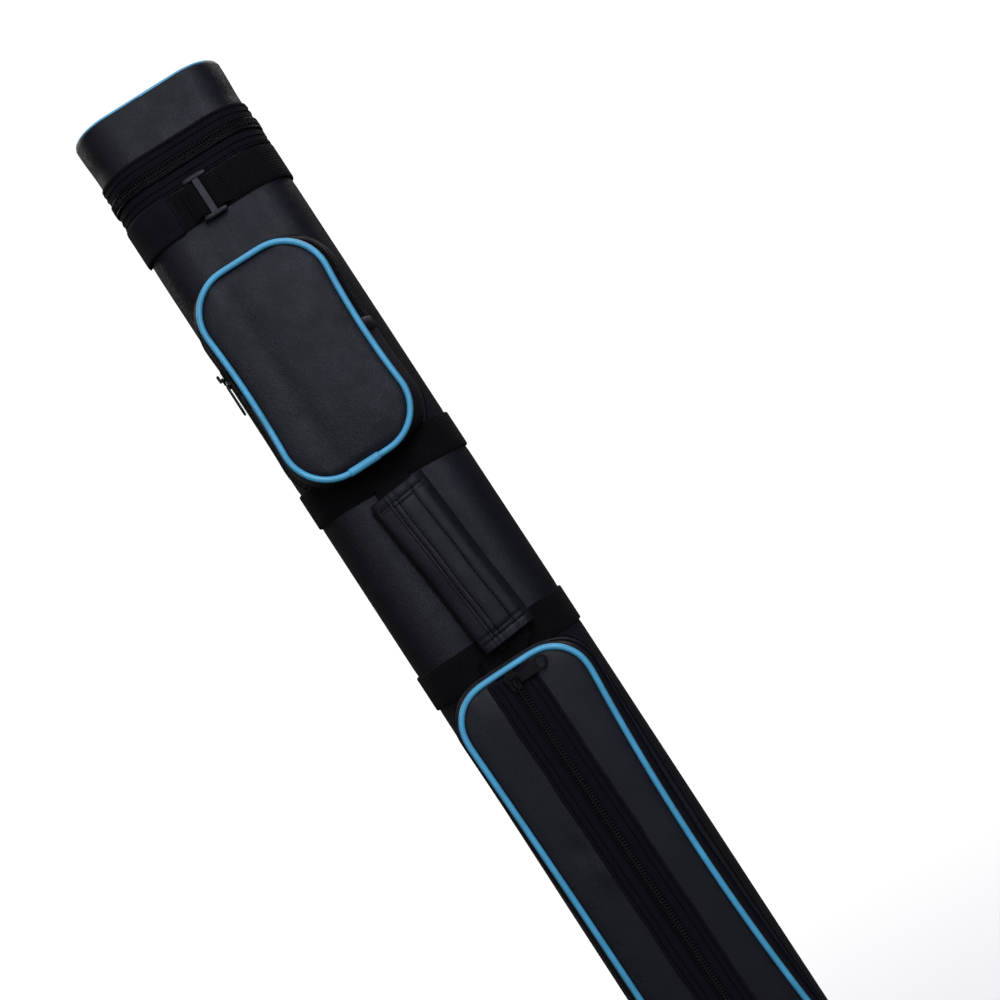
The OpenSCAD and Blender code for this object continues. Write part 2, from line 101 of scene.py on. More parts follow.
class Nodes:
    """Short ways to add nodes to one material."""

    def __init__(self, mat):
        self.tree = mat.node_tree
        self.shader = self.tree.nodes["Principled BSDF"]
        self.coords = self.tree.nodes.new("ShaderNodeTexCoord")

    def put(self, value, socket):
        if isinstance(value, (int, float)):
            socket.default_value = value
        else:
            self.tree.links.new(value, socket)

    def math(self, operation, a, b=0.0, c=0.0):
        node = self.tree.nodes.new("ShaderNodeMath")
        node.operation = operation
        for value, socket in zip((a, b, c), node.inputs):
            self.put(value, socket)
        return node.outputs[0]

    def noise(self, scale, detail=4.0, rough=0.55, stretch=None):
        node = self.tree.nodes.new("ShaderNodeTexNoise")
        node.inputs["Scale"].default_value = scale
        node.inputs["Detail"].default_value = detail
        node.inputs["Roughness"].default_value = rough
        source = self.coords.outputs["Object"]
        if stretch:
            mapping = self.tree.nodes.new("ShaderNodeMapping")
            mapping.inputs["Scale"].default_value = stretch
            self.tree.links.new(source, mapping.inputs["Vector"])
            source = mapping.outputs[0]
        self.tree.links.new(source, node.inputs["Vector"])
        return node.outputs["Fac"]

    def cells(self, scale):
        node = self.tree.nodes.new("ShaderNodeTexVoronoi")
        node.feature = "DISTANCE_TO_EDGE"
        node.inputs["Scale"].default_value = scale
        self.tree.links.new(self.coords.outputs["Object"], node.inputs["Vector"])
        return node.outputs["Distance"]

    def uv(self):
        node = self.tree.nodes.new("ShaderNodeSeparateXYZ")
        self.tree.links.new(self.coords.outputs["UV"], node.inputs[0])
        return node.outputs[0], node.outputs[1]

    def spread(self, value, low, high, from_low=0.3, from_high=0.7):
        node = self.tree.nodes.new("ShaderNodeMapRange")
        self.put(value, node.inputs["Value"])
        ends = {"From Min": from_low, "From Max": from_high, "To Min": low, "To Max": high}
        for key, number in ends.items():
            node.inputs[key].default_value = number
        return node.outputs[0]

    def tint(self, value, dark, light):
        node = self.tree.nodes.new("ShaderNodeMix")
        node.data_type = "RGBA"
        self.put(value, node.inputs["Factor"])
        node.inputs["A"].default_value = (*dark, 1)
        node.inputs["B"].default_value = (*light, 1)
        self.tree.links.new(node.outputs["Result"], self.shader.inputs["Base Color"])

    def rough(self, value):
        self.put(value, self.shader.inputs["Roughness"])

    def bump(self, height, depth_mm, strength=1.0):
        node = self.tree.nodes.new("ShaderNodeBump")
        node.inputs["Strength"].default_value = strength
        node.inputs["Distance"].default_value = depth_mm * MM
        self.put(height, node.inputs["Height"])
        self.tree.links.new(node.outputs[0], self.shader.inputs["Normal"])


def shade(color, factor):
    return tuple(min(1.0, c * factor) for c in color)


def leatherette(name, color, rough=0.46):
    """Fine grain with small cells, soft creases, and slightly uneven shine."""
    mat = material(name, color, rough, specular=0.24)
    n = Nodes(mat)
    cells = n.math("MINIMUM", n.math("MULTIPLY", n.cells(1150), 5.0), 1.0)
    grain = n.math("ADD", n.math("MULTIPLY", cells, 0.55), n.noise(900, 5))
    creases = n.math("MULTIPLY", n.noise(60, 3), 1.6)
    pebble = n.math("MULTIPLY", n.noise(420, 4), 0.9)
    n.bump(n.math("ADD", n.math("ADD", grain, pebble), creases), 0.12, 0.8)
    n.tint(n.spread(n.noise(34, 5), 0, 1), shade(color, 0.78), shade(color, 1.3))
    n.rough(n.spread(n.noise(85, 3), rough - 0.06, rough + 0.09))
    return mat


def woven(name, color, along, across, depth, rough=0.85):
    """Plain weave drawn on the UVs, which hold metres along and across the strip."""
    mat = material(name, color, rough, specular=0.08, sheen=0.02)
    n = Nodes(mat)
    u, v = n.uv()
    row = n.math("FLOOR", n.math("DIVIDE", v, across * MM))
    turn = n.math("MULTIPLY", u, 2 * math.pi / (along * MM))
    phase = n.math("ADD", turn, n.math("MULTIPLY", row, math.pi))
    pick = n.math("MULTIPLY_ADD", n.math("SINE", phase), 0.5, 0.5)
    rib = n.math("ABSOLUTE", n.math("SINE", n.math("MULTIPLY", v, math.pi / (across * MM))))
    height = n.math("MULTIPLY", n.math("MULTIPLY_ADD", pick, 0.6, 0.4), rib)
    fuzz = n.math("MULTIPLY", n.noise(2600, 3), 0.25)
    n.bump(n.math("ADD", height, fuzz), depth, 0.9)
    # The colour follows the weave's height: painted shade darkens the low gaps between the threads and a painted
    # highlight lightens the raised threads.
    n.tint(height, shade(color, 0.45), shade(color, 1.7))
    n.rough(n.spread(n.noise(200, 3), rough - 0.08, rough + 0.08))
    return mat


def plush(name, color, scale, depth, sheen=0.15):
    """Short soft pile or lined foam."""
    mat = material(name, color, 0.95, specular=0.06, sheen=sheen)
    n = Nodes(mat)
    n.bump(n.noise(scale, 6, 0.7), depth, 0.8)
    n.tint(n.spread(n.noise(scale / 30, 4), 0, 1), shade(color, 0.7), shade(color, 1.35))
    return mat


def plastic(name, color, rough, metallic=0.0, specular=0.5, coat=0.0, grain=700, depth=0.02):
    """Moulded or plated surface with faint texture and uneven gloss."""
    mat = material(name, color, rough, metallic=metallic, specular=specular, coat=coat)
    n = Nodes(mat)
    n.bump(n.noise(grain, 4), depth, 0.6)
    n.tint(n.spread(n.noise(55, 4), 0, 1), shade(color, 0.85), shade(color, 1.15))
    n.rough(n.spread(n.noise(140, 4), rough - 0.05, rough + 0.08))
    return mat


BLACK = (0.0040, 0.0044, 0.0078)
NAVY = (0.0034, 0.0027, 0.0034)
SKY = (0.070, 0.375, 0.585)

LEATHER = leatherette("leatherette_black", BLACK)
PATCH = plush("velvet_patch", (0.0062, 0.0056, 0.0082), 2200, 0.05, sheen=0.03)
PIPING = plastic("piping_sky_blue", SKY, 0.40, grain=420, depth=0.05)
WEBBING = woven("webbing_black", NAVY, 2.1, 1.9, 0.42)
TAPE = woven("zip_tape_navy", (0.0056, 0.0044, 0.0076), 0.9, 0.75, 0.16, rough=0.85)
COIL = plastic("zip_coil_nylon", (0.0026, 0.0020, 0.0032), 0.42, specular=0.10)
THREAD = plush("thread_black", (0.0012, 0.0012, 0.0016), 3000, 0.03, sheen=0.0)
METAL = plastic("black_nickel", (0.0034, 0.0027, 0.0036), 0.30, specular=0.11, grain=260)
SLIDE = plastic("black_moulded", (0.0090, 0.0110, 0.0160), 0.42, specular=0.25, grain=1500,
                depth=0.03)
TUBE = plastic("tube_black", (0.010, 0.010, 0.011), 0.50, grain=900, depth=0.05)
LINER = plastic("liner_satin", (0.017, 0.017, 0.019), 0.38, grain=320, depth=0.03)
FLOCK = plush("flocked_core", (0.0075, 0.0075, 0.0085), 2600, 0.08)
FOAM = plush("lined_foam", (0.030, 0.031, 0.036), 1500, 0.12)

# ---- mesh tools ----

SHARP = math.radians(35)                    # edges of metal parts stay sharp from this angle on
WELD = 0.02                                 # vertices nearer than this become one
END_MARGIN = 5.0                            # the middle line stops this far from the case's ends


def make(name, verts, faces, mat, body, slot, uvs=None, replaces=()):
    """A mesh piece from millimetres. uvs are per face corner, in millimetres too."""
    mesh = bpy.data.meshes.new(name)
    mesh.from_pydata([Vector(v) * MM for v in verts], [], faces)
    if uvs:
        layer = mesh.uv_layers.new(name="UVMap")
        for corner, (u, v) in zip(layer.data, uvs):
            corner.uv = (u * MM, v * MM)
    mesh.polygons.foreach_set("use_smooth", [True] * len(mesh.polygons))
    if slot == "black_metal":
        mesh.set_sharp_from_angle(angle=SHARP)
    mesh.materials.append(mat)
    obj = bpy.data.objects.new(name, mesh)
    bpy.context.scene.collection.objects.link(obj)
    if body:
        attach(obj, body)
    if replaces:
        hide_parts(*replaces)
    return obj


def surface(name, nu, nv, point, mat, body, slot, thick=0.0, closed=False, closed_v=False,
            keep=None, uv=None, replaces=(), weld=False):
    """A grid of point(i / nu, j / nv), closed in u or v, with the quads keep(u, v) lets through."""
    cols = nu if closed else nu + 1
    rows = nv if closed_v else nv + 1
    verts = [point(i / nu, j / nv) for i in range(cols) for j in range(rows)]
    faces, uvs = [], []
    for i in range(nu):
        for j in range(nv):
            if keep and not keep((i + 0.5) / nu, (j + 0.5) / nv):
                continue
            corners = [(i, j), (i + 1, j), (i + 1, j + 1), (i, j + 1)]
            faces.append([(a % cols) * rows + b % rows for a, b in corners])
            if uv:
                uvs += [uv(a / nu, b / nv) for a, b in corners]
    used = sorted({v for f in faces for v in f})
    if len(used) < len(verts):
        place = {v: k for k, v in enumerate(used)}
        verts = [verts[v] for v in used]
        faces = [[place[v] for v in f] for f in faces]
    obj = make(name, verts, faces, mat, None, slot, uvs=uvs or None, replaces=replaces)
    if weld:
        edit(obj.data, lambda form: bmesh.ops.remove_doubles(form, verts=form.verts,
                                                             dist=WELD * MM))
    face_out(obj, bool(thick))
    if thick:
        thicken(obj, thick)
    if body:
        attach(obj, body)
    return obj


def edit(mesh, change):
    """Runs one bmesh operation on a mesh."""
    form = bmesh.new()
    form.from_mesh(mesh)
    change(form)
    form.to_mesh(mesh)
    form.free()


def face_out(obj, sheet):
    """Turns a sheet's faces away from the case's middle line, a closed form's faces outwards."""
    mesh = obj.data
    if not sheet:
        edit(mesh, lambda form: bmesh.ops.recalc_face_normals(form, faces=form.faces))
        return
    turn = 0.0
    for face in mesh.polygons:
        c = face.center / MM
        core = Vector((clamp(c.x, -FLAT, FLAT), 0, clamp(c.z, END_MARGIN, TOP_Z - END_MARGIN)))
        turn += face.normal.dot((c - core).normalized()) * face.area
    if turn < 0:
        mesh.flip_normals()


def thicken(obj, thick):
    """Gives an open surface a back, thick millimetres behind it."""
    mod = obj.modifiers.new("thickness", "SOLIDIFY")
    mod.thickness = thick * MM
    mod.offset = -1
    mod.use_even_offset = True
    bpy.context.view_layer.update()
    graph = bpy.context.evaluated_depsgraph_get()
    mesh = bpy.data.meshes.new_from_object(obj.evaluated_get(graph), depsgraph=graph)
    obj.modifiers.clear()
    obj.data = mesh


def tube_rings(points, radius, closed, sides, up, flat=1.0):
    """Rings of a tube round a path. flat squeezes it along up."""
    rings = []
    count = len(points)
    for i, p in enumerate(points):
        p = Vector(p)
        back = Vector(points[(i - 1) % count] if closed or i else p)
        ahead = Vector(points[(i + 1) % count] if closed or i < count - 1 else p)
        along = (ahead - back).normalized()
        u = Vector(up(i) if callable(up) else up)
        u = (u - along * u.dot(along)).normalized()
        side = along.cross(u)
        r = radius(i) if callable(radius) else radius
        ring = []
        for k in range(sides):
            a = 2 * math.pi * k / sides
            ring.append(p + side * (r * math.cos(a)) + u * (r * flat * math.sin(a)))
        rings.append(ring)
    return rings


class Batch:
    """Collects small shapes into one mesh."""

    def __init__(self):
        self.verts = []
        self.faces = []

    def rings(self, rings, closed=False, caps=True):
        start = len(self.verts)
        n = len(rings[0])
        for ring in rings:
            self.verts += ring
        last = len(rings) if closed else len(rings) - 1
        for i in range(last):
            a = start + i * n
            b = start + (i + 1) % len(rings) * n
            for k in range(n):
                self.faces.append([a + k, b + k, b + (k + 1) % n, a + (k + 1) % n])
        if caps and not closed:
            self.faces.append([start + k for k in range(n)])
            self.faces.append([start + (len(rings) - 1) * n + k for k in reversed(range(n))])

    def tube(self, points, radius, closed=False, sides=10, up=(0, 1, 0), flat=1.0):
        self.rings(tube_rings(points, radius, closed, sides, up, flat), closed)

    def capsule(self, a, b, r, up=(0, 1, 0), flat=1.0, sides=8):
        """A rod with rounded ends."""
        a, b = Vector(a), Vector(b)
        d = (b - a).normalized() * r
        path = [a - d * 0.9, a - d * 0.55, a, b, b + d * 0.55, b + d * 0.9]
        sizes = [0.35, 0.8, 1.0, 1.0, 0.8, 0.35]
        self.rings(tube_rings(path, lambda i: r * sizes[i], False, sides, up, flat))

    def plate(self, outline, y0, y1, place, bevel=0.3):
        """A flat plate with bevelled edges. place(x, z, y) puts a point of the outline."""
        cx = sum(p[0] for p in outline) / len(outline)
        cz = sum(p[1] for p in outline) / len(outline)
        rings = []
        for y, inset in ((y0, bevel), (y0 + bevel, 0.0), (y1 - bevel, 0.0), (y1, bevel)):
            ring = []
            for x, z in outline:
                d = math.hypot(x - cx, z - cz) or 1
                ring.append(Vector(place(x - (x - cx) / d * inset, z - (z - cz) / d * inset, y)))
            rings.append(ring)
        self.rings(rings)

    def make(self, name, mat, body, slot, replaces=()):
        return make(name, self.verts, self.faces, mat, body, slot, replaces=replaces)


def clamp(x, low, high):
    return max(low, min(high, x))


def smoothstep(x, low, high):
    t = clamp((x - low) / (high - low), 0.0, 1.0)
    return t * t * (3 - 2 * t)


def bell(x, middle, width):
    return math.exp(-((x - middle) / width) ** 2)


def mix(a, b, t):
    return a + (b - a) * t


def wave(x, seed, amount):
    """A smooth wander made of three waves, the same on every run."""
    rng = random.Random(seed)
    total = 0.0
    for k in (1, 2, 3):
        total += math.sin(x * k * rng.uniform(0.7, 1.3) + rng.uniform(0, 6.3)) / k
    return amount * total / 1.8


def line_points(point, start, end, step):
    count = max(1, round((end - start) / step))
    return [point(mix(start, end, i / count)) for i in range(count + 1)]


STITCH_PITCH = 3.3
STITCH_LENGTH = 2.3
THREAD_R = 0.34


def stitches(batch, path, start, end, up, pitch=STITCH_PITCH, length=STITCH_LENGTH, r=THREAD_R):
    """Sewn dashes along path(s), each lying on the surface whose normal is up(s)."""
    count = max(1, int((end - start) / pitch))
    spare = (end - start) - count * pitch
    for i in range(count):
        s = start + spare / 2 + i * pitch
        a = Vector(path(s))
        b = Vector(path(s + length))
        batch.capsule(a, b, r, up=up(s) if callable(up) else up, flat=0.8, sides=6)


def sewn(name, body, slot, *rows, **size):
    """One piece of thread with rows of stitches. Each row is (path, start, end, up)."""
    batch = Batch()
    for row in rows:
        stitches(batch, *row, **size)
    return batch.make(name, THREAD, body, slot)


def teeth(batch, path, across, up, start, end, pitch, reach, r, offset=0.0):
    """One side of a coil zip: rounded loops over the middle line, with a cord along their roots."""
    s = start + offset
    while s < end:
        p = Vector(path(s))
        out = Vector(across(s))
        normal = Vector(up(s))
        ahead = (Vector(path(s + 0.5)) - p).normalized()
        batch.capsule(p - out * 0.5 + normal * 0.15, p + out * reach - ahead * 0.55, r,
                      up=normal, flat=0.95, sides=7)
        s += pitch
    root = line_points(lambda t: Vector(path(t)) + Vector(across(t)) * (reach + 0.2), start, end,
                       2.5)
    batch.tube(root, 0.55, up=lambda i: up(mix(start, end, i / (len(root) - 1))), sides=6)


# ---- the oval of the case ----


def oval(s):
    """Point and outward normal of the case's outline, s along it from mid front to the right."""
    s %= LOOP
    if s <= FLAT:
        return (s, -HALF_D), (0.0, -1.0)
    s -= FLAT
    if s <= ARC:
        n = (math.cos(s / HALF_D - math.pi / 2), math.sin(s / HALF_D - math.pi / 2))
        return (FLAT + HALF_D * n[0], HALF_D * n[1]), n
    s -= ARC
    if s <= 2 * FLAT:
        return (FLAT - s, HALF_D), (0.0, 1.0)
    s -= 2 * FLAT
    if s <= ARC:
        n = (math.cos(s / HALF_D + math.pi / 2), math.sin(s / HALF_D + math.pi / 2))
        return (-FLAT + HALF_D * n[0], HALF_D * n[1]), n
    s -= ARC
    return (-FLAT + s, -HALF_D), (0.0, -1.0)


def on_case(s, z, out=0.0):
    (x, y), (nx, ny) = oval(s)
    return (x + nx * out, y + ny * out, z)


def case_normal(s):
    return (*oval(s)[1], 0.0)


def case_front(x):
    """The y of the case's front at x."""
    return -HALF_D if abs(x) < FLAT else -math.sqrt(max(HALF_D ** 2 - (abs(x) - FLAT) ** 2, 0))


BACK = LOOP / 2                              # the middle of the back
FRONT = (0, -1, 0)

# ---- case cover, base, lid ----

BAND_HALF = 12.5
WEB_T = 1.6
# each band's height at x = 0 and its slope
BANDS = {
    "upper_band": (776.5, 0.0),
    "grip_band_top": (570.0, -0.0454),
    "grip_band_low": (433.0, 0.0),
    "lower_band": (17.0, 0.0524),
}


def band_middle(name, x):
    z, slope = BANDS[name]
    return z + slope * x


def cover_out(s, z):
    """The cover gives a little under the bands and is not quite even."""
    (x, _), _ = oval(s)
    out = wave(z / 90 + s / 60, 3, 0.16)
    for name in BANDS:
        out -= 0.35 * smoothstep(BAND_HALF + 2.5 - abs(z - band_middle(name, x)), 0, 3)
    return min(out, 0.1)


SEAM_AT = BACK - 6                           # edge of the cover's overlap down the back


def cover_seam(s):
    return 0.75 * smoothstep(s, SEAM_AT - 0.2, SEAM_AT + 0.6) * smoothstep(BACK + 60 - s, 0, 60)


def body_cover():
    z0, z1 = COVER_LOW[2], SPLIT_Z - SPLIT_GAP

    def point(u, v):
        z = mix(z0, z1, v)
        s = u * LOOP
        return on_case(s, z, cover_out(s, z) + cover_seam(s))

    surface("body_cover_leather", 200, 120, point, LEATHER, "case", "leatherette", thick=SKIN,
            closed=True, replaces=["body_cover"])
    rows = []
    for inset in (2.2, 5.6):
        at = SEAM_AT + inset

        def seam(z, at=at):
            return on_case(at, z, cover_out(at, z) + cover_seam(at) + 0.1)

        rows.append((seam, 34, 786, case_normal(at)))
    sewn("body_cover_back_seam", "case", "leatherette", *rows)


def disc(name, inset, z_edge, crown, mat, body, slot, thick, replaces):
    """An oval panel whose middle stands crown above its edge."""

    def point(u, v):
        (x, y), (nx, ny) = oval(u * LOOP)
        spine = clamp(x, -FLAT, FLAT)
        x, y = x - nx * inset, y - ny * inset
        rise = crown * (1 - (1 - v) ** 2.4)
        return (mix(x, spine, v), mix(y, 0.0, v), z_edge + rise)

    return surface(name, 144, 14, point, mat, body, slot, thick=thick, closed=True,
                   replaces=replaces, weld=True)


def oval_piping(name, z, out, r, body, replaces):
    batch = Batch()
    path = [on_case(LOOP * i / 220, z, out) for i in range(220)]
    batch.tube(path, r, closed=True, sides=14, up=(0, 0, 1))
    return batch.make(name, PIPING, body, "piping", replaces=replaces)


PIPING_R = 2.0
JOINER_R = PIPING_R + 0.62
PIPING_AT = (0.4, 0.2)                        # how far a pocket's piping lies outwards and forwards


def base():
    disc("base_leather", 1.6, 0.35, 0.5, LEATHER, "case", "leatherette", 1.0, ["base_cover"])
    oval_piping("base_piping_tube", 1.9, 0.1, 1.85, "case", ["base_piping"])
    sewn("base_stitching", "case", "leatherette",
         (lambda s: on_case(s, 5.2, 0.12), 0, LOOP, case_normal))


def lid():
    z0, z1 = SPLIT_Z + SPLIT_GAP, TOP_Z - 0.9

    def point(u, v):
        s, z = u * LOOP, mix(z0, z1, v)
        flare = 0.9 * smoothstep(z, 826, 850) - 0.9 * smoothstep(z, z1 - 1.8, z1)
        sag = 0.35 * bell(z, 829, 6) * math.cos(s / LOOP * 6 * math.pi)
        return on_case(s, z, -0.1 + flare - abs(sag) + wave(s / 24 + z / 40, 8, 0.12))

    surface("lid_leather", 200, 26, point, LEATHER, "lid", "leatherette", thick=SKIN, closed=True,
            replaces=["lid_cover"])
    disc("lid_top_leather", 1.0, TOP_Z - 0.6, 0.6, LEATHER, "lid", "leatherette", 0.6,
         ["lid_top_panel"])
    oval_piping("lid_piping_tube", TOP_Z - 1.5, -1.5, 1.7, "lid", ["lid_piping"])
    pad = disc("lid_pad_lined", HALF_D - 24.6, 847.4, -1.6, FOAM, "lid", "foam", 4.4, ["lid_pad"])
    pad = disc("bottom_pad_lined", HALF_D - 24.4, 11.2, 0.7, FOAM, "case", "foam", 6.5,
               ["bottom_pad"])


# ---- the zip between the case and the lid ----

ZIP_START = FLAT + ARC + (FLAT - HINGE_HALF)     # the zip's ends lie at the back
TOOTH_PITCH = 2.1


TEETH_REACH = 3.0
STRIP_Y = HALF_D + 1.35                          # the fabric strip that hinges the lid
STRIP_HALF = 9.5


def lid_zip():
    for body, side in (("case", -1), ("lid", 1)):
        far = abs((TAPE_LOW if side < 0 else TAPE_HIGH) - SPLIT_Z)

        def tape(u, v, side=side, far=far):
            s = u * LOOP
            reach = mix(1.6, far, v)
            lift = 0.95 - 0.35 * bell(reach, 4.2, 1.4) + 0.25 * smoothstep(reach, far - 2, far)
            ripple = wave(s / 9 + 4 * side, 5, 0.22) * smoothstep(reach, 5, far)
            return on_case(s, SPLIT_Z + side * reach, lift + ripple)

        def beside(reach, out, side=side):
            return lambda s: on_case(s, SPLIT_Z + side * reach, out)

        surface(f"{body}_zip_tape_cloth", 260, 12, tape, TAPE, body, "zip_tape", thick=1.0,
                closed=True, uv=lambda u, v: (u * LOOP, v * 16), replaces=[f"{body}_zip_tape"])
        start, end = ZIP_START - LOOP + 6, ZIP_START - 6
        batch = Batch()
        teeth(batch, beside(0, 1.5), lambda s, side=side: (0, 0, side), case_normal, start, end,
              TOOTH_PITCH, TEETH_REACH, 0.5, offset=TOOTH_PITCH / 2 if side > 0 else 0)
        batch.make(f"{body}_zip_teeth", COIL, body, "zip_coil", replaces=[f"{body}_zip_coil"])
        thread = Batch()
        for reach in (far - 2.0, far - 6.2):
            stitches(thread, beside(reach, 1.22), -BACK + 24, BACK - 24, case_normal)
        stitches(thread, beside(4.4, 0.98), start, end, case_normal, pitch=2.1, length=1.5, r=0.26)
        thread.make(f"{body}_zip_thread", THREAD, body, "zip_tape")

    def strip(u, v):
        x = mix(-HINGE_HALF, HINGE_HALF, u)
        z = mix(SPLIT_Z - STRIP_HALF, SPLIT_Z + STRIP_HALF, v)
        return (x, STRIP_Y + 0.3 * bell(z, SPLIT_Z, 4), z)

    hinge = surface("lid_hinge_cloth", 48, 24, strip, WEBBING, None, "webbing", thick=0.8,
                    uv=lambda u, v: (u * 2 * HINGE_HALF, v * 2 * STRIP_HALF),
                    replaces=["lid_hinge"])
    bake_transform(hinge)
    for body, side in (("case", -1), ("lid", 1)):
        z = SPLIT_Z + side * 7.6
        row = (lambda x, z=z: (x, STRIP_Y + 0.1, z), -HINGE_HALF + 1, HINGE_HALF - 1, (0, 1, 0))
        sewn(f"lid_hinge_thread_{body}", body, "webbing", row)


# ---- webbing ----


def ribbon_section(half, thick):
    """Cross-section of a webbing strip: (offset across, height)."""
    edge = thick * 0.45
    top = [(-half, edge), (-half + 0.25, thick * 0.85), (-half + 0.9, thick)]
    top += [(-half * 0.5, thick), (0, thick), (half * 0.5, thick)]
    top += [(half - 0.9, thick), (half - 0.25, thick * 0.85), (half, edge)]
    return top + [(half - 0.6, 0), (0, 0), (-half + 0.6, 0)]


def ribbon(name, count, path, half, thick, mat, body, slot, closed=False, replaces=(), length=None):
    """A webbing strip. path(t) gives its middle, the direction across it and its outward normal."""
    section = ribbon_section(half, thick)
    n = len(section)

    def point(u, v):
        middle, across, normal = path(u)
        a, h = section[int(round(v * n)) % n]
        return Vector(middle) + Vector(across) * a + Vector(normal) * h

    def uv(u, v):
        k = int(round(v * n))
        return (u * (length or LOOP), section[k % n][0] if k < n else -half + 0.6)

    obj = surface(name, count, n, point, mat, None, slot, closed=closed, closed_v=True, uv=uv,
                  replaces=replaces)
    if not closed:
        mesh = obj.data
        last = len(mesh.vertices) - n
        verts = [v.co / MM for v in mesh.vertices]
        faces = [list(p.vertices) for p in mesh.polygons]
        faces += [list(range(n)), list(range(last + n - 1, last - 1, -1))]
        uvs = [c.uv / MM for c in mesh.uv_layers[0].data] + section * 2
        bpy.data.objects.remove(obj)
        obj = make(name, verts, faces, mat, None, slot, uvs=uvs, replaces=replaces)
    if body:
        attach(obj, body)
    return obj


def band(name, loose=lambda s: 0.0):
    """A webbing band round the case."""

    def path(u):
        s = u * LOOP
        (x, _), n = oval(s)
        lift = wave(s / 13, len(name), 0.10) + loose(s)
        return on_case(s, band_middle(name, x), max(lift, 0.0) + 0.02), (0, 0, 1), (*n, 0)

    ribbon(f"{name}_webbing", 260, path, BAND_HALF, WEB_T, WEBBING, "case", "webbing", closed=True,
           replaces=[name])


PATCH_EDGE = -21.0
PATCH_LENGTH = 56
PATCH_HALF = 13.6
PATCH_OUT = WEB_T + 0.85


def upper_band_patch():
    """The smooth patch over the left of the upper band, with rounded corners."""
    end = LOOP + PATCH_EDGE
    start = end - PATCH_LENGTH

    def point(u, v):
        across = 2 * v - 1
        s = mix(start, end, u)
        near_end = min(s - start, end - s)
        shrink = 1 - 0.10 * (1 - smoothstep(near_end, 0, 3.5)) * abs(across) ** 3
        edge = 0.45 * (1 - smoothstep(min(near_end, PATCH_HALF * (1 - abs(across))), 0, 1.4))
        scallop = 0.35 * math.sin(across * 16) * smoothstep(s, end - 2, end)
        return on_case(s + scallop, 776.6 + across * PATCH_HALF * shrink,
                       PATCH_OUT - edge + wave(s / 11, 6, 0.12))

    surface("upper_band_patch_velvet", 70, 30, point, PATCH, "case", "patch", thick=0.9,
            replaces=["upper_band_patch"])
    at = end - 1.8
    sewn("upper_band_patch_thread", "case", "patch",
         (lambda z: on_case(at, z, PATCH_OUT), 764.8, 788.4, case_normal(at)))


SLIDE_HALF_H = 13.3
SLIDE_HALF_W = 8.0
HUMP_HALF = 13.2                              # half the webbing that runs over the slide's bars


def tri_slide(body, buckle, hump, band_name, x0):
    """A tri-bar slide: two end rails, a raised middle bar, two outer bars under the webbing."""
    slope = math.atan(BANDS[band_name][1])
    base_out = HALF_D + WEB_T
    z0 = band_middle(band_name, x0)

    def place(x, z, out):
        c, s = math.cos(slope), math.sin(slope)
        return Vector((x0 + (x * c - z * s), -base_out - out, z0 + (x * s + z * c)))

    batch = Batch()
    for side in (-1, 1):
        z = side * SLIDE_HALF_H
        across = [mix(-SLIDE_HALF_W, SLIDE_HALF_W, i / 10) for i in range(11)]
        rail = [place(x, z + side * 0.25 * (1 - (x / SLIDE_HALF_W) ** 2), 2.9) for x in across]
        sizes = [0.7, 0.93] + [1.0] * 7 + [0.93, 0.7]
        batch.tube(rail, lambda i: 1.95 * sizes[i], sides=14, up=(0, 1, 0), flat=0.85)
        x = side * (SLIDE_HALF_W - 1.6)
        batch.capsule(place(x, -SLIDE_HALF_H, 1.9), place(x, SLIDE_HALF_H, 1.9), 1.15, sides=12)
    bar = [(-2.2, -SLIDE_HALF_H), (2.2, -SLIDE_HALF_H), (2.2, SLIDE_HALF_H), (-2.2, SLIDE_HALF_H)]
    batch.plate(bar, 2.2, 4.0, place, bevel=0.45)
    batch.make(f"{buckle}_frame", SLIDE, body, "black_metal", replaces=[buckle])

    def height(x):
        over = bell(x, -6.6, 3.6) + bell(x, 6.6, 3.6)
        return 0.32 + 3.4 * min(over, 1.0)

    def path(u):
        x = mix(-HUMP_HALF, HUMP_HALF, u)
        step = 0.2
        rise = (height(x + step) - height(x - step)) / (2 * step)
        normal = Vector((-rise, -1, 0)).normalized()
        return place(x, 0, height(x)), place(0, 1, 0) - place(0, 0, 0), normal

    ribbon(f"{hump}_webbing", 64, path, 11.2, 1.25, WEBBING, body, "webbing", replaces=[hump],
           length=34)


# ---- pockets ----


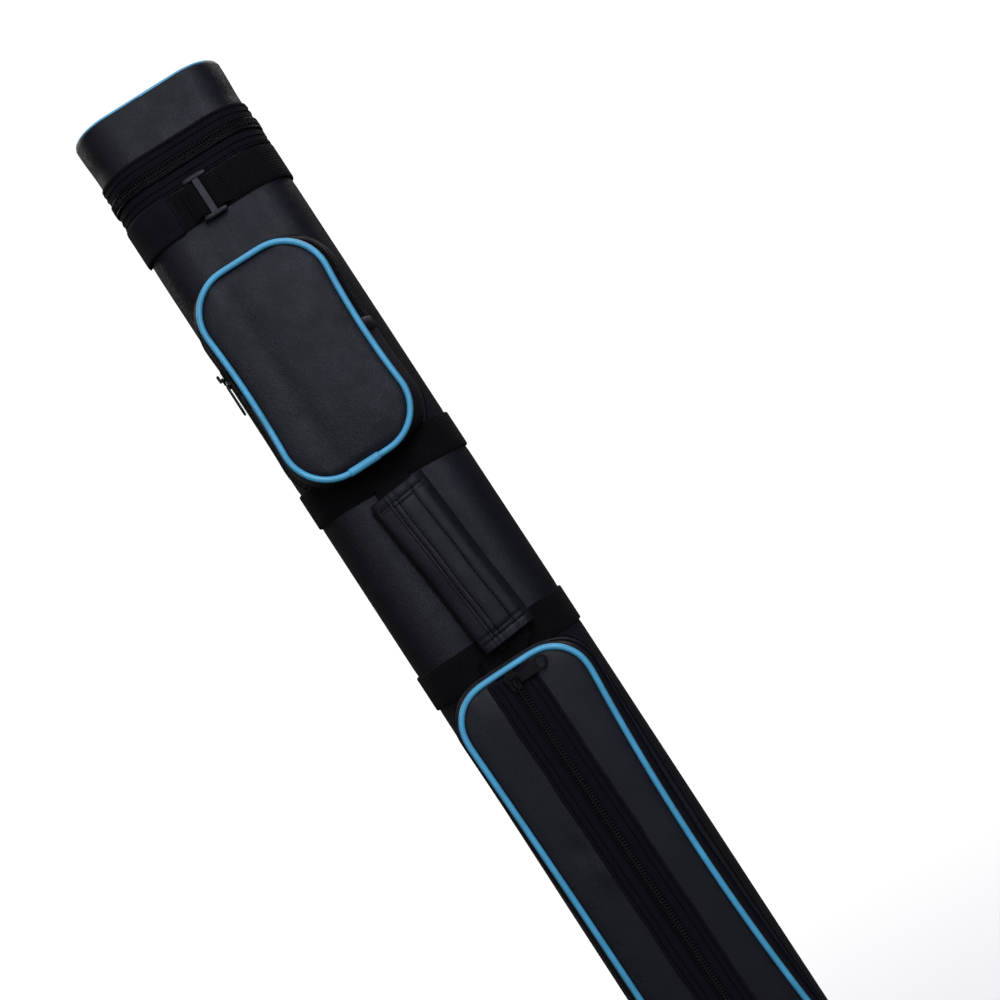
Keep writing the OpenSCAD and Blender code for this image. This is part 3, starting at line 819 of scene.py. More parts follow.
class Pocket:
    """A pocket's face outline and the line where its side wall meets the case."""

    count = 240

    def __init__(self, face, base, face_y, swell=0.0):
        self.face = self.outline(face)
        self.base = self.outline(base)
        self.face_y = face_y
        self.swell = swell                    # how much more the right side wall bulges

    def outline(self, p):
        """Evenly spaced points from the bottom middle round to the right."""
        # left and right edge at the top, then at the bottom, lowest and highest z, corner radius
        # at the top and at the bottom, waist on the left and on the right
        lt, rt, lb, rb, z0, z1, r1, r0, wl, wr = p

        def arc(x, z, r, a0):
            turns = [math.radians(a0 + 6 * i) for i in range(16)]
            return [(x + r * math.cos(a), z + r * math.sin(a)) for a in turns]

        def side(a, b, waist, sign):
            steps = [i / 24 for i in range(1, 24)]
            return [(mix(a, b, t) - sign * 4 * waist * t * (1 - t), mix(z0 + r0, z1 - r1, t))
                    for t in steps]

        middle = [((lb + rb) / 2, z0)]
        right = arc(rb - r0, z0 + r0, r0, -90) + side(rb, rt, wr, 1) + arc(rt - r1, z1 - r1, r1, 0)
        left = arc(lt + r1, z1 - r1, r1, 90) + side(lb, lt, wl, -1)[::-1]
        left += arc(lb + r0, z0 + r0, r0, 180)
        dense = middle + right + left + middle
        lengths = [0.0]
        for a, b in zip(dense, dense[1:]):
            lengths.append(lengths[-1] + math.dist(a, b))
        points, k = [], 0
        for i in range(self.count):
            target = lengths[-1] * i / self.count
            while lengths[k + 1] < target:
                k += 1
            t = (target - lengths[k]) / (lengths[k + 1] - lengths[k])
            a, b = dense[k], dense[k + 1]
            points.append((mix(a[0], b[0], t), mix(a[1], b[1], t)))
        for _ in range(3):
            around = zip(points[-1:] + points[:-1], points, points[1:] + points[:1])
            points = [tuple((a[c] + 2 * b[c] + d[c]) / 4 for c in (0, 1)) for a, b, d in around]
        self.length = lengths[-1]
        return points

    def at(self, line, u):
        k = (u % 1.0) * self.count
        i = int(k)
        a, b = line[i % self.count], line[(i + 1) % self.count]
        return (mix(a[0], b[0], k - i), mix(a[1], b[1], k - i))

    def normal(self, u):
        a, b = self.at(self.face, u - 0.006), self.at(self.face, u + 0.006)
        d = math.dist(a, b)
        return ((b[1] - a[1]) / d, -(b[0] - a[0]) / d)

    def rim(self, u, out=0.0, y=0.0):
        """A point of the face's outline, moved outwards and forwards."""
        (x, z), (nx, nz) = self.at(self.face, u), self.normal(u)
        return (x + nx * out, -self.face_y - y, z + nz * out)

    def wall(self, u, t, out=0.0, bulge=1.2):
        """The side wall: t is 0 on the case and 1 at the face."""
        (x0, z0), (x1, z1) = self.at(self.base, u), self.at(self.face, u)
        nx, nz = self.normal(u)
        push = out + (bulge + self.swell * smoothstep(x1, 24, 38)) * 4 * t * (1 - t)
        y = mix(case_front(x0), -self.face_y, t)
        return (mix(x0, x1, t) + nx * push, y, mix(z0, z1, t) + nz * push)

    def wall_normal(self, u):
        nx, nz = self.normal(u)
        return (nx, 0.0, nz)

    def sides(self, z, middle):
        """Where the face's outline crosses the height z, left and right of middle."""
        left, right = [], []
        for i in range(self.count):
            (xa, za), (xb, zb) = self.face[i], self.face[(i + 1) % self.count]
            if (za - z) * (zb - z) <= 0 and za != zb:
                x = mix(xa, xb, (z - za) / (zb - za))
                (left if x < middle else right).append(x)
        return min(left, default=middle - 1), max(right, default=middle + 1)

    def piping(self, name, gap, body, replaces):
        """The piping tube, open over gap (a share of the outline each side of the bottom)."""
        batch = Batch()
        count = 300
        span = [mix(gap[1], 1 + gap[0], i / count) for i in range(count + 1)]
        batch.tube([self.rim(u, *PIPING_AT) for u in span], PIPING_R, sides=14)
        return batch.make(name, PIPING, body, "piping", replaces)

    def joiner(self, name, gap, replaces=()):
        """The sleeve over the ends of the piping."""
        batch = Batch()
        span = [mix(gap[0] - 0.002, gap[1] + 0.002, i / 16) for i in range(17)]
        sizes = [0.95] + [1.0] * 15 + [0.95]
        batch.tube([self.rim(u, *PIPING_AT) for u in span], lambda i: JOINER_R * sizes[i], sides=16)
        batch.make(name, PIPING, "case", "piping", replaces)


def loop_tube(batch, point, r):
    """A closed tube through point(u) for u from 0 to 1."""
    batch.tube([point(i / Pocket.count) for i in range(Pocket.count)], r, closed=True, sides=8)


def spaced(low, high, count):
    """Numbers from low to high that crowd towards both ends."""
    return [low + (high - low) * (1 - math.cos(math.pi * i / count)) / 2 for i in range(count + 1)]


def cushion(d, depth, wide, edge, narrow):
    """A soft rise, d in from the rim: depth over wide millimetres plus edge over narrow ones."""
    return depth * (1 - (1 - min(d / wide, 1)) ** 2) + edge * (1 - (1 - min(d / narrow, 1)) ** 2)


LOW_LO, LOW_HI = 68.5, 421.0                  # lower and upper edge of the long pocket's face
UPPER = Pocket((-47.2, 38.9, -46.6, 38.4, 576, 724, 29, 29, 1.6, 2.1),
               (-51.5, 46.4, -51.0, 46.4, 573, 728, 30, 30, 1.2, 1.6), UP_Y, swell=3.2)
LOWER = Pocket((-48.9, 40.0, -45.5, 45.8, LOW_LO, LOW_HI, 25, 20, 1.4, 8.1),
               (-51.0, 47.0, -49.0, 49.5, 65.5, 423.5, 27, 22, 0.8, 3.0), LOW_Y, swell=2.0)
UP_GAP = (-0.034, 0.014)                      # each piping's gap, from and to, round the bottom
LOW_GAP = (-0.0115, 0.0115)
ZIP_T = 0.77                                  # where the upper zip runs, as a share of the wall
TAPE_T = 0.17                                 # width of one side of its tape, the same way
UP_PITCH = 1.5                                # of its teeth
FLAP_BEND = (FOLD_Z - 7, FOLD_Z + 9)
FACE_IN = 0.7                                 # how far a face stops inside the pocket's outline


def bend_flap(obj):
    """Bakes a flap piece's placement into its mesh. The fold's ends are worked out, but the leather is not bent.
    """
    start, end = [(0, -UP_Y * MM, z * MM) for z in FLAP_BEND]
    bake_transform(obj)
    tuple(start)
    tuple(end)


def upper_pocket():
    p = UPPER
    zs = [z for _, z in p.face]
    z0, z1 = min(zs) + 0.9, max(zs) - 0.9
    rows = 120
    heights = spaced(z0, z1, rows)
    sides = [p.sides(z, -4.0) for z in heights]

    def face(u, v):
        k = round(u * rows)
        z, (left, right) = heights[k], sides[k]
        x = mix(left + FACE_IN, right - FACE_IN, (1 - math.cos(math.pi * v)) / 2)
        d = max(0.0, min(x - left, right - x, z - z0, z1 - z))
        rise = cushion(d, 3.1, 40, 1.5, 7) - 1.0
        folds = 0.9 * bell(x, 14, 12) * bell(z, 640, 50) - 1.1 * bell(x, -22, 8)
        rise += folds * smoothstep(d, 2, 16)
        rise += wave(z / 24 + x / 30, 12, 0.25) * smoothstep(d, 2, 14)
        return (x, -UP_Y + 0.5 - rise, z)

    bend_flap(surface("upper_pocket_face", rows, 60, face, LEATHER, None, "leatherette",
                      thick=POCKET_SKIN, replaces=["upper_pocket_front", "flap_front"]))
    bend_flap(p.piping("upper_pocket_piping_tube", UP_GAP, None,
                       ["upper_pocket_piping", "flap_piping"]))
    p.joiner("upper_pocket_joiner_sleeve", UP_GAP)

    def above(u, z=FOLD_Z):
        return p.at(p.face, u)[1] > z

    t0, t1 = ZIP_T - TAPE_T, ZIP_T + TAPE_T * 0.95

    def back(u, v):
        return p.wall(u, v * (t0 + 0.02) if above(u) else v)

    surface("upper_pocket_side", p.count, 20, back, LEATHER, "case", "leatherette", thick=1.3,
            closed=True, replaces=["upper_pocket_gusset"])
    lip = surface("upper_pocket_lip", p.count, 3,
                  lambda u, v: p.wall(u, mix(t1 - 0.02, 1.0, v), 0.15), LEATHER, None, "leatherette",
                  thick=POCKET_SKIN, closed=True, keep=lambda u, v: above(u, FOLD_Z - 12),
                  replaces=["flap_gusset"])
    bend_flap(lip)
    edge = Batch()
    loop_tube(edge, lambda u: p.rim(u, 2.3, -1.6), 0.6)
    bend_flap(edge.make("upper_pocket_rim_edge", LEATHER, None, "leatherette"))

    spans = [i / 1000 for i in range(1000) if above(i / 1000, FOLD_Z + 1)]
    u0, u1 = min(spans), max(spans)
    run = (u1 - u0) * p.length

    def at(s):
        return u0 + s / p.length

    def out(s):
        return p.wall_normal(at(s))

    for node, side in (("upper_pocket", -1), ("flap", 1)):
        def tape(u, v, side=side):
            t = ZIP_T + side * mix(0.015, TAPE_T, v)
            ripple = wave(u * 30, 9 + side, 0.12) * v
            return p.wall(mix(u0, u1, u), t, 0.65 + ripple)

        cloth = surface(f"{node}_tape_cloth", 150, 6, tape, TAPE, None, "zip_tape", thick=0.6,
                        uv=lambda u, v: (u * run, v * 6), replaces=[f"{node}_tape"])

        def across(s, side=side):
            a, b = Vector(p.wall(at(s), ZIP_T)), Vector(p.wall(at(s), ZIP_T + 0.1 * side))
            return (b - a).normalized()

        batch = Batch()
        teeth(batch, lambda s: p.wall(at(s), ZIP_T, 1.15), across, out, 2, run - 2,
              UP_PITCH, 2.2, 0.58, offset=UP_PITCH / 2 if side > 0 else 0)
        row = batch.make(f"{node}_zip_teeth", COIL, None, "zip_coil", replaces=[f"{node}_coil"])
        t = ZIP_T + side * (TAPE_T - 0.05)
        seam = sewn(f"{node}_tape_thread", None, "zip_tape",
                    (lambda s, t=t: p.wall(at(s), t, 0.85), 2, run - 2, out))
        for obj in (cloth, row, seam):
            if side > 0:
                bend_flap(obj)
            else:
                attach(obj, "case")

    # leather tabs over the zip's ends
    batch = Batch()
    for u, down in ((u0, -1), (u1, 1)):
        rings = []
        for a, grow in ((-3.0, 0.0), (-2.6, 0.5), (5.4, 0.6), (6.0, 0.0)):
            ring = []
            for k in range(16):
                w = 2 * math.pi * k / 16
                place = p.wall(u + down * a / p.length, ZIP_T + 0.20 * math.cos(w),
                               0.9 + grow + 0.75 * math.sin(w))
                ring.append(Vector(place))
            rings.append(ring)
        batch.rings(rings)
    batch.make("upper_pocket_tab_leather", LEATHER, "case", "leatherette",
               replaces=["upper_pocket_tabs"])
    flange(p, "upper_pocket")


FLANGE_W = 3.2


def flange(p, name):
    """The leather lip where a side wall is sewn to the case."""

    def point(u, v):
        x, _, z = p.wall(u, 0.0, 0.3 + FLANGE_W * (1 - v))
        return (x, case_front(x) - 0.35 - 0.5 * math.sin(math.pi * v), z)

    surface(f"{name}_flange", p.count, 6, point, LEATHER, "case", "leatherette", thick=0.8,
            closed=True)

    def seam(s):
        x, y, z = point(s / p.length, 0.45)
        return (x, y - 0.1, z)

    sewn(f"{name}_flange_thread", "case", "leatherette", (seam, 0, p.length, FRONT))


# ---- the long pocket with its zip down the middle ----

LEAN = math.radians(0.72)
TAPE_IN, TAPE_OUT = 1.4, 15.8                 # each tape's edges, measured from the zip's middle
LOW_MID = (LOW_LO + LOW_HI) / 2
ZIP_X = -2.6
LOW_ROWS = 150
LOW_TEETH_OUT = 3.05                          # how far the teeth lie in front of LOW_Y


def zip_x(z):
    return ZIP_X - (z - LOW_MID) * math.tan(LEAN)


def low_sides(z):
    return LOWER.sides(z, zip_x(z))


def low_face(x, z, left, right):
    """How far the face stands in front of its plane."""
    d = max(0, min(x - left, right - x, z - LOW_LO, LOW_HI - z))
    rise = cushion(d, 2.2, 36, 1.2, 7) - 0.9
    fold = 0.7 * bell(x, -24, 7) * bell(z, 150, 60) + 0.6 * bell(x, 22, 8) * bell(z, 330, 90)
    fold += 1.0 * bell(x, -22, 5) * bell(z, 284, 11) - 0.9 * bell(x, -28, 5) * bell(z, 303, 9)
    slack = wave(z / 34 + x / 26, 21, 0.28) * smoothstep(d, 2, 14)
    return rise + fold + slack


def lower_pocket():
    p = LOWER
    heights = spaced(LOW_LO + 0.9, LOW_HI - 0.9, LOW_ROWS)
    sides = [low_sides(z) for z in heights]
    for hand, sign in (("left", -1), ("right", 1)):
        def point(u, v, sign=sign):
            k = round(u * LOW_ROWS)
            z, (left, right) = heights[k], sides[k]
            rim = left + FACE_IN if sign < 0 else right - FACE_IN
            inner = zip_x(z) + sign * 9
            if (rim - inner) * sign < 0:
                inner = rim - sign * 0.2
            x = mix(inner, rim, v)
            return (x, -LOW_Y + 0.5 - low_face(x, z, left, right), z)

        surface(f"lower_pocket_face_{hand}", LOW_ROWS, 26, point, LEATHER, "case", "leatherette",
                thick=POCKET_SKIN, replaces=[f"lower_pocket_{hand}"])

    p.piping("lower_pocket_piping_tube", LOW_GAP, "case", ["lower_pocket_piping"])
    p.joiner("lower_pocket_joiner_sleeve", LOW_GAP, ["pocket_joiners"])

    def side(u, t):
        crease = -0.9 * bell(t, 0.52, 0.06) + 0.5 * bell(t, 0.62, 0.05)
        (_, nz) = p.normal(u)
        out = crease * (1 - abs(nz)) + wave(u * 40, 17, 0.35) * math.sin(math.pi * t)
        return p.wall(u, t, out, 1.8)

    surface("lower_pocket_side", p.count, 26, side, LEATHER, "case", "leatherette", thick=1.3,
            closed=True, replaces=["lower_pocket_gusset"])
    edge = Batch()
    loop_tube(edge, lambda u: p.rim(u, 2.5, -1.4), 0.85)
    loop_tube(edge, lambda u: Vector(side(u, 0.62)) + Vector(p.wall_normal(u)) * 0.6, 0.85)
    edge.make("lower_pocket_rim_edge", LEATHER, "case", "leatherette")
    flange(p, "lower_pocket")

    # zip down the middle
    top, bottom = LOW_HI - 2.5, LOW_LO + 2.5
    run = top - bottom

    def strip_point(u, v, sign):
        z = mix(bottom, top, u)
        reach = mix(TAPE_IN, TAPE_OUT + wave(z / 9, 31 + sign, 0.4), v)
        x = zip_x(z) + sign * reach
        bed = low_face(x, z, *low_sides(z))
        curl = wave(z / 6.5 + 2 * sign, 40 + sign, 0.28) * smoothstep(reach, 6, 15)
        dip = 0.5 * bell(reach, 4.3, 1.2)
        return (x, -LOW_Y - bed - 0.55 - curl + dip, z)

    coil = Batch()
    rows = []
    for hand, sign, nodes in (("left", -1, ["lower_pocket_tapes"]), ("right", 1, [])):
        surface(f"lower_tape_{hand}", 170, 12, lambda u, v, sign=sign: strip_point(u, v, sign),
                TAPE, "case", "zip_tape", thick=0.6, uv=lambda u, v: (u * run, v * 15),
                replaces=nodes)
        teeth(coil, lambda z: (zip_x(z), -LOW_Y - LOW_TEETH_OUT, z),
              lambda z, sign=sign: (sign, 0, 0), lambda z: FRONT, bottom + 5, top - 3,
              TOOTH_PITCH, TEETH_REACH, 0.68, offset=TOOTH_PITCH / 2 if sign > 0 else 0)
        for reach in (13.4, 9.2):
            def row(z, sign=sign, reach=reach):
                share = (reach - TAPE_IN) / (TAPE_OUT - TAPE_IN)
                x, y, z = strip_point((z - bottom) / run, share, sign)
                return (x, y - 0.15, z)

            rows.append((row, bottom + 2, top - 2, FRONT))
    coil.make("lower_zip_teeth", COIL, "case", "zip_coil", replaces=["lower_pocket_coil"])
    sewn("lower_zip_thread", "case", "zip_tape", *rows)
    stops = Batch()
    for z in (bottom + 4.4, top - 1.2):
        a, b = [(zip_x(z) + x, -LOW_Y - 3.1, z) for x in (-2.6, 2.6)]
        stops.capsule(a, b, 1.1, sides=10)
    stops.make("lower_zip_stops", METAL, "case", "black_metal", replaces=["lower_pocket_stops"])


# ---- sliders and pullers ----


BRIDGE_H = 4.5                                # the puller's bar swings under the bridge
PULLER_OUT = 2.0                              # from the slider's plane to the puller's
PULLER_LENGTH = 25.6
PULLER_T = 1.3
END_R = 4.6
HOLE_R = 3.0
NECK_HALF_W = 2.9
NECK_AT = 3.6


def slider(name, node, origin, up, normal, body):
    """A zip slider: a shouldered plate and a hooked bridge. up is the closing direction."""
    up, normal = Vector(up).normalized(), Vector(normal).normalized()
    side = up.cross(normal)

    def place(x, z, out):
        return origin + side * x + up * z + normal * out

    batch = Batch()
    half = [(2.9, -6.2), (3.6, -3), (4.2, 0.6), (5.2, 3.2), (4.9, 5.0), (3.6, 6.3), (1.6, 6.6)]
    mirrored = [(-x, z) for x, z in reversed(half)]
    batch.plate(mirrored[-1:] + half + mirrored[:-1], 0.0, 1.7, place, bevel=0.45)
    for x in (-1, 1):
        rail = [place(x * 3.0, -5.6, 0.4), place(x * 3.7, -2, 0.4), place(x * 4.7, 3.6, 0.5)]
        batch.tube(rail, 0.75, sides=8, up=normal)
    hook = ((0.0, 1.2), (0.0, 2.6), (-0.4, 3.7), (-1.5, 4.4), (-3.0, BRIDGE_H), (-4.3, BRIDGE_H))
    batch.tube([place(0, z, h) for z, h in hook], 0.95, sides=10, up=side)
    batch.capsule(place(0, -0.3, BRIDGE_H), place(0, -4.0, BRIDGE_H), 0.95, up=normal, flat=0.9,
                  sides=10)
    batch.make(name, METAL, body, "black_metal", replaces=[node])


def puller(name, node, origin, along, normal, body):
    """A flat puller: an open eye round the bridge's foot, a bar, and a round end with a hole."""
    along, normal = Vector(along).normalized(), Vector(normal).normalized()
    side = normal.cross(along)

    def place(a, x, out):
        return origin + along * a + side * x + normal * out

    batch = Batch()
    angles = [math.radians(a) for a in range(-140, 141, 14)]
    eye = [place(2.3 * math.cos(w) + 0.4, 2.6 * math.sin(w), 0.8) for w in angles]
    batch.tube(eye, 0.68, sides=10, up=normal)
    centre = PULLER_LENGTH - END_R
    taper = (END_R - NECK_HALF_W) / (centre - NECK_AT)

    def reach(c, s):
        """From the hole's middle to the edge: a round end, then sides that taper to the neck."""
        if c >= 0:
            return END_R
        return max(END_R, min(END_R / max(abs(s) - taper * c, 0.01), (centre - NECK_AT) / -c))

    # (in the hole, height, how far out of the outline) once round the plate's section
    section = ((True, 0.15, 0.0), (True, PULLER_T - 0.15, 0.0), (True, PULLER_T, 0.2),
               (False, PULLER_T, -0.45), (False, PULLER_T - 0.45, 0.0), (False, 0.3, 0.0),
               (False, 0.0, -0.3), (True, 0.0, 0.2))
    rings = []
    for hole, h, grow in section:
        ring = []
        for k in range(120):
            w = 2 * math.pi * k / 120
            c, s = math.cos(w), math.sin(w)
            d = (HOLE_R if hole else reach(c, s)) + grow
            ring.append(place(centre + d * c, d * s, h))
        rings.append(ring)
    batch.rings(rings, closed=True)
    batch.make(name, METAL, body, "black_metal", replaces=[node])


def joint(name):
    return next(j for j in frame["joints"] if j["name"] == name)


def zip_fittings(zone, up, normal, along):
    """The slider and puller of one zip, at the puller's pivot."""
    centre = Vector(joint(f"{zone}_puller_swivel")["pos_m"]) / MM
    slider(f"{zone}_zip_slider_body", f"{zone}_zip_slider", centre, up, normal, f"{zone}_slider")
    puller(f"{zone}_zip_puller_bar", f"{zone}_zip_puller", centre + normal * PULLER_OUT, along,
           normal, f"{zone}_puller")


def fittings():
    zip_fittings("lower", -Vector(joint("lower_zip_run")["axis"]), Vector(FRONT), (1, 0, 0.07))
    normal = Vector(joint("upper_puller_swivel")["axis"])
    zip_fittings("upper", (0, 0, -1), normal, (0, 0, -1))
    normal = Vector(joint("lid_puller_swivel")["axis"])
    zip_fittings("lid", normal.cross(Vector((0, 0, 1))), normal, (0, 0, -1))


# ---- grip ----

GRIP_HALF_L = 59.0
GRIP_HALF_W = 20.0
GRIP_T = 12.6
GRIP_TILT = math.radians(-4.8)
GRIP_AT = Vector((4.6, -(HALF_D + WEB_T + 0.5), 495.0))


def on_grip(x, z, out):
    """A point in the grip's own frame: x across, z along, out from the case."""
    return GRIP_AT + Euler((0, GRIP_TILT, 0)).to_matrix() @ Vector((x, 0, z)) + Vector((0, -out, 0))


RIDGE_X = -9.6                                # edge of the overlapping layer
GRIP_ROWS = (-7.9, -3.9, 7.6)                 # the three lines of stitches along the grip
CROSS_ROWS = (6.2, 9.4)                       # the stitches across, measured from each end


def grip_half_width(z):
    return GRIP_HALF_W - 0.9 * bell(z, -6, 38) - 0.5 * smoothstep(z, -30, -59)


def grip_bulge(t):
    """The rounding of the grip's section, 1 in the middle and 0 at its edge."""
    return (1 - t ** 2.7) ** (1 / 2.2)


def grip_front(x, z):
    """Height of the grip's front above the case, at x across and z along."""
    w = grip_half_width(z)
    t = min(abs(x) / w, 1.0)
    height = GRIP_T / 2 - 0.6 * bell(abs(z), 59, 12) + 0.5 * bell(z, 10, 30)
    crown = grip_bulge(t) * height
    layer = 1.0 * smoothstep(x, RIDGE_X - 0.5, RIDGE_X + 0.3) * (1 - smoothstep(x, 13, 19))
    press = sum(0.75 * bell(x, row, 1.1) for row in GRIP_ROWS)
    for row in CROSS_ROWS:
        press += 0.7 * bell(abs(z), GRIP_HALF_L - row, 1.1) * (1 - smoothstep(abs(x), 16, 19))
    slack = wave(z / 9 + x / 7, 51, 0.14) + 0.25 * bell(x, -14, 4) * math.sin(z / 11)
    return GRIP_T / 2 + crown + layer - press + slack


def grip_point(angle, z, inset=0.0):
    w = grip_half_width(z) - inset
    c, s = math.cos(angle), math.sin(angle)
    x = w * math.copysign(abs(c) ** 0.72, c)
    if s >= 0:
        return on_grip(x, z, grip_front(x * 0.999, z) - inset)
    depth = grip_bulge(min(abs(x) / w, 1)) * (GRIP_T / 2 - 0.4)
    return on_grip(x, z, GRIP_T / 2 - depth + inset + 0.1)


def grip():
    rows = [(-GRIP_HALF_L + 9, 2.4), (-GRIP_HALF_L + 1.2, 1.5), (-GRIP_HALF_L + 0.2, 0.8)]
    rows += [(mix(-GRIP_HALF_L, GRIP_HALF_L, i / 110), 0.0) for i in range(111)]
    rows += [(GRIP_HALF_L - 0.2, 0.8), (GRIP_HALF_L - 1.2, 1.5), (GRIP_HALF_L - 9, 2.4)]

    def point(u, v):
        z, inset = rows[int(round(v * (len(rows) - 1)))]
        return grip_point(2 * math.pi * u, z, inset)

    surface("grip_leather", 168, len(rows) - 1, point, LEATHER, "grip", "leatherette", closed=True,
            replaces=["grip_cover"])
    core = Batch()
    ends = ((-55.5, 5.0), (-54.6, 3.2), (-50, 2.7), (0, 2.7), (50, 2.7), (54.6, 3.2), (55.5, 5.0))
    core.rings([[grip_point(2 * math.pi * k / 48, z, inset) for k in range(48)]
                for z, inset in ends])
    pad = core.make("grip_pad_foam", FOAM, "grip", "foam", replaces=["grip_padding"])

    stitched = []
    for x in GRIP_ROWS:
        z_end = GRIP_HALF_L - (5.6 if x < 0 else CROSS_ROWS[0])

        def along(z, x=x):
            return on_grip(x + 0.25 * math.sin(z / 8), z, grip_front(x, z) + 0.12)

        stitched.append((along, -z_end, z_end, FRONT))
    for side in (-1, 1):
        for row, (x0, x1) in zip(CROSS_ROWS, ((-18.0, 17.0), (GRIP_ROWS[0], GRIP_ROWS[2]))):
            z = side * (GRIP_HALF_L - row)
            across = (lambda x, z=z: on_grip(x, z + 0.02 * x, grip_front(x, z) + 0.12))
            stitched.append((across, x0, x1, FRONT))
    sewn("grip_thread", "grip", "leatherette", *stitched, pitch=3.0, length=2.1, r=0.4)


def grip_webbing():
    """The webbing runs through the grip and down to the two bands."""
    inner = GRIP_T / 2
    surface_y = -(HALF_D + WEB_T + 0.15)
    route = [Vector((0.3, surface_y, 567)), Vector((0, surface_y, 562))]
    for z, out in ((GRIP_HALF_L + 0.5, inner - 1.5), (GRIP_HALF_L - 8, inner), (0, inner),
                   (-GRIP_HALF_L + 8, inner), (-GRIP_HALF_L - 0.5, inner - 1.5)):
        route.append(on_grip(0, z, out))
    route += [Vector((-3, surface_y, 428)), Vector((-8, surface_y, 415))]

    def spline(t):
        k = t * (len(route) - 1)
        i = min(int(k), len(route) - 2)
        f = k - i
        p0, p1 = route[max(i - 1, 0)], route[i]
        p2, p3 = route[i + 1], route[min(i + 2, len(route) - 1)]
        bend = (2 * p0 - 5 * p1 + 4 * p2 - p3) * f * f + (3 * p1 - p0 - 3 * p2 + p3) * f ** 3
        return 0.5 * (2 * p1 + (p2 - p0) * f + bend)

    def path(u):
        middle = spline(u)
        along = (spline(min(u + 0.004, 1)) - spline(max(u - 0.004, 0))).normalized()
        across = Vector(FRONT).cross(along).normalized()
        normal = along.cross(across).normalized()
        if normal.y > 0:
            normal = -normal
        return middle, across, normal

    # each half follows its own half of the route
    halves = (("upper", 0.0, ["grip_webbing"], 558, 547), ("lower", 0.5, (), 431, 443))
    for half, a, nodes, start, end in halves:
        strap = ribbon(f"grip_webbing_{half}", 60, lambda u, a=a: path(mix(a, a + 0.5, u)),
                       BAND_HALF - 0.6, 1.5, WEBBING, None, "webbing", replaces=nodes, length=80)
        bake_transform(strap)
    # the sewn end of the webbing on the lower of the two bands, seen to the left of the grip
    rows = []
    seams = ((-18.5, 418, 2.5, 418), (-18.5, 418, -18.5, 434), (-16, 420.5, -16, 434))
    for x0, z0, x1, z1 in seams:
        a, b = Vector((x0, surface_y - 1.75, z0)), Vector((x1, surface_y - 1.75, z1))
        size = (b - a).length
        rows.append((lambda s, a=a, b=b, size=size: a.lerp(b, s / size), 0, size, FRONT))
    sewn("grip_webbing_thread", "case", "webbing", *rows)


# ---- carried-over CAD nodes get their finishes ----

FINISH = {"tube": TUBE, "bore_liner": LINER, "core": FLOCK, "foam": FOAM, "leatherette": LEATHER,
          "patch": PATCH, "piping": PIPING, "webbing": WEBBING, "zip_tape": TAPE, "zip_coil": COIL,
          "black_metal": METAL}


def finish_nodes():
    slots = {row["node"]: row["material_slot"] for row in frame["record"]["subparts"]}
    for name, obj in frame["nodes"].items():
        obj.data.materials.clear()
        obj.data.materials.append(FINISH[slots[name]])


# ---- stage, light and camera ----


FLOOR_R = 1.6
FLOOR_SOLID = 0.25                            # the floor is opaque out to here, then fades into the
FLOOR_CLEAR = 0.75                            # white, and is clear from here on
WORLD_LIGHT = 0.08
WORLD_SEEN = 1.05


def stage():
    count = 96
    mesh = bpy.data.meshes.new("floor")
    turns = [2 * math.pi * i / count for i in range(count)]
    ring = [(FLOOR_R * math.cos(a), FLOOR_R * math.sin(a), 0) for a in turns]
    mesh.from_pydata(ring, [], [list(range(count))])
    floor = bpy.data.objects.new("floor", mesh)
    bpy.context.scene.collection.objects.link(floor)
    mat = material("floor_white", (0.85, 0.85, 0.85), 0.9, specular=0.0)
    n = Nodes(mat)
    n.shader.inputs["Emission Color"].default_value = (1, 1, 1, 1)
    n.shader.inputs["Emission Strength"].default_value = 0.35
    reach = mat.node_tree.nodes.new("ShaderNodeVectorMath")
    reach.operation = "LENGTH"
    mat.node_tree.links.new(n.coords.outputs["Object"], reach.inputs[0])
    fade = n.spread(reach.outputs["Value"], 1, 0, FLOOR_SOLID, FLOOR_CLEAR)
    n.put(fade, n.shader.inputs["Alpha"])
    mesh.materials.append(mat)
    floor.visible_glossy = False
    floor.visible_diffuse = False

    world = bpy.data.worlds.new("studio")
    bpy.context.scene.world = world
    world.use_nodes = True
    tree = world.node_tree
    back = tree.nodes["Background"]
    back.inputs["Color"].default_value = (1, 1, 1, 1)
    path = tree.nodes.new("ShaderNodeLightPath")
    level = tree.nodes.new("ShaderNodeMapRange")
    level.inputs["To Min"].default_value = WORLD_LIGHT
    level.inputs["To Max"].default_value = WORLD_SEEN
    tree.links.new(path.outputs["Is Camera Ray"], level.inputs["Value"])
    tree.links.new(level.outputs[0], back.inputs["Strength"])


def area(name, at, aim, size, power, color=(1, 1, 1)):
    data = bpy.data.lights.new(name, "AREA")
    data.shape = "RECTANGLE"
    data.size, data.size_y = size
    data.energy = power
    data.color = color
    obj = bpy.data.objects.new(name, data)
    obj.location = at
    obj.rotation_euler = (Vector(aim) - Vector(at)).to_track_quat("-Z", "Y").to_euler()
    bpy.context.scene.collection.objects.link(obj)


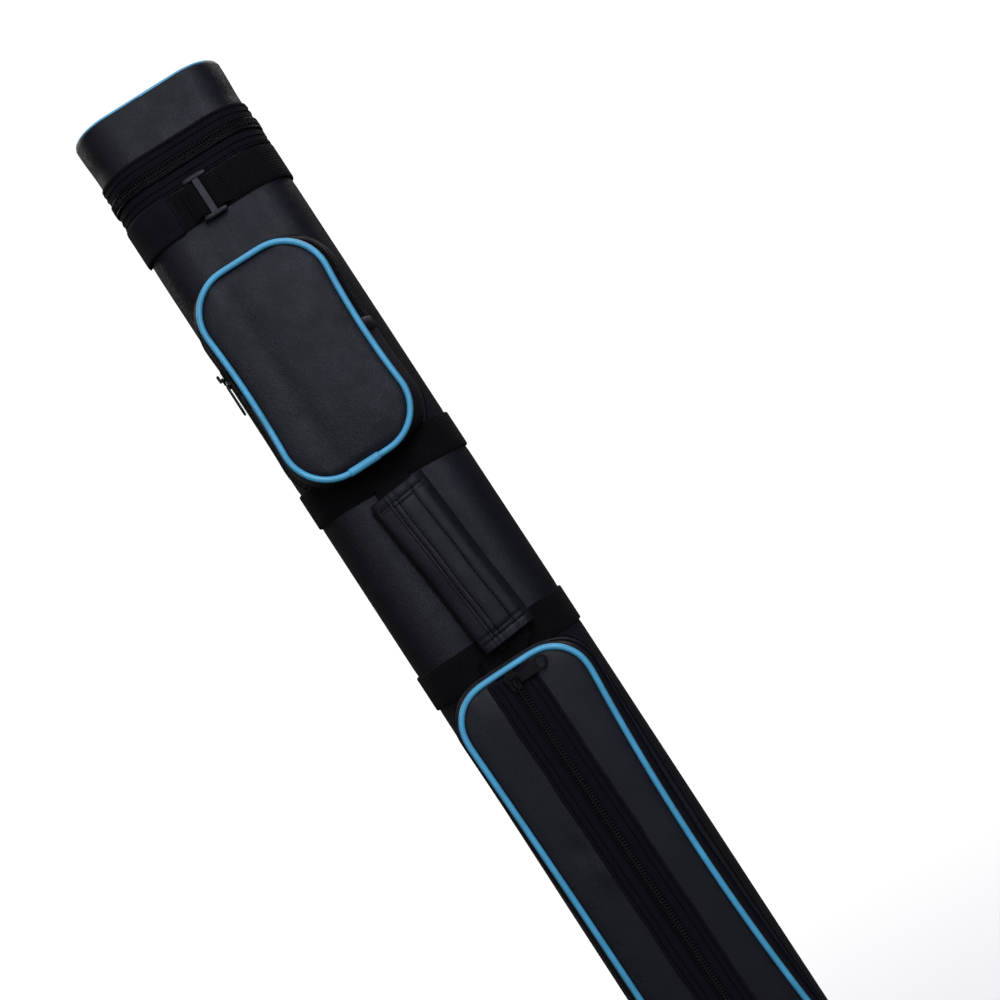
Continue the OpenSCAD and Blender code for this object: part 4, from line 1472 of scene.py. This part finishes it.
def lights():
    area("key_soft", (0.95, -2.0, 2.0), (0, 0, 0.5), (0.9, 0.9), 26, (0.83, 0.86, 1.0))
    area("strip_right", (0.33, -1.75, 0.95), (0, 0, 0.5), (0.26, 1.1), 13, (0.78, 0.86, 1.0))
    area("fill_left", (-1.3, -1.7, 0.9), (0, 0, 0.45), (0.7, 1.5), 7, (0.96, 0.88, 1.0))
    area("top_soft", (0.1, -0.3, 2.1), (0, 0, 0.5), (1.2, 1.2), 6, (1.0, 0.92, 0.96))
    area("rear_right", (1.3, 1.3, 2.0), (0, 0, 0.45), (0.8, 0.8), 10, (1.0, 0.90, 0.92))
    area("rear_left", (-1.3, 1.3, 2.0), (0, 0, 0.45), (0.8, 0.8), 10, (1.0, 0.90, 0.92))


CAMERA_AT = Vector((-0.0153, -1.1241, 0.4811))
CAMERA_AIM = Vector((0.0531, 0.0, 0.5128))
CAMERA_ROLL = math.radians(33.15)
CAMERA_LENS = 62.24


def camera():
    data = bpy.data.cameras.new("camera")
    data.lens = CAMERA_LENS
    data.clip_start = 0.01
    obj = bpy.data.objects.new("camera", data)
    forward = (CAMERA_AIM - CAMERA_AT).normalized()
    right = forward.cross(Vector((0, 0, 1))).normalized()
    up = right.cross(forward)
    c, s = math.cos(CAMERA_ROLL), math.sin(CAMERA_ROLL)
    turn = Matrix((right * c - up * s, right * s + up * c, -forward)).transposed()
    obj.matrix_world = Matrix.Translation(CAMERA_AT) @ turn.to_4x4()
    bpy.context.scene.collection.objects.link(obj)
    bpy.context.scene.camera = obj


bpy.context.scene.view_settings.view_transform = "Standard"
camera()
stage()
lights()
finish_nodes()
body_cover()
base()
lid()
lid_zip()
band("upper_band")
band("grip_band_top")
band("grip_band_low")
band("lower_band", loose=lambda s: 3.0 * bell(s, LOOP - FLAT - 22, 16))
upper_band_patch()
tri_slide("upper_tri_slide", "upper_buckle", "upper_band_hump", "upper_band", 0.0)
tri_slide("lower_tri_slide", "lower_buckle", "lower_band_hump", "lower_band", -7.0)
upper_pocket()
lower_pocket()
fittings()
grip()
grip_webbing()
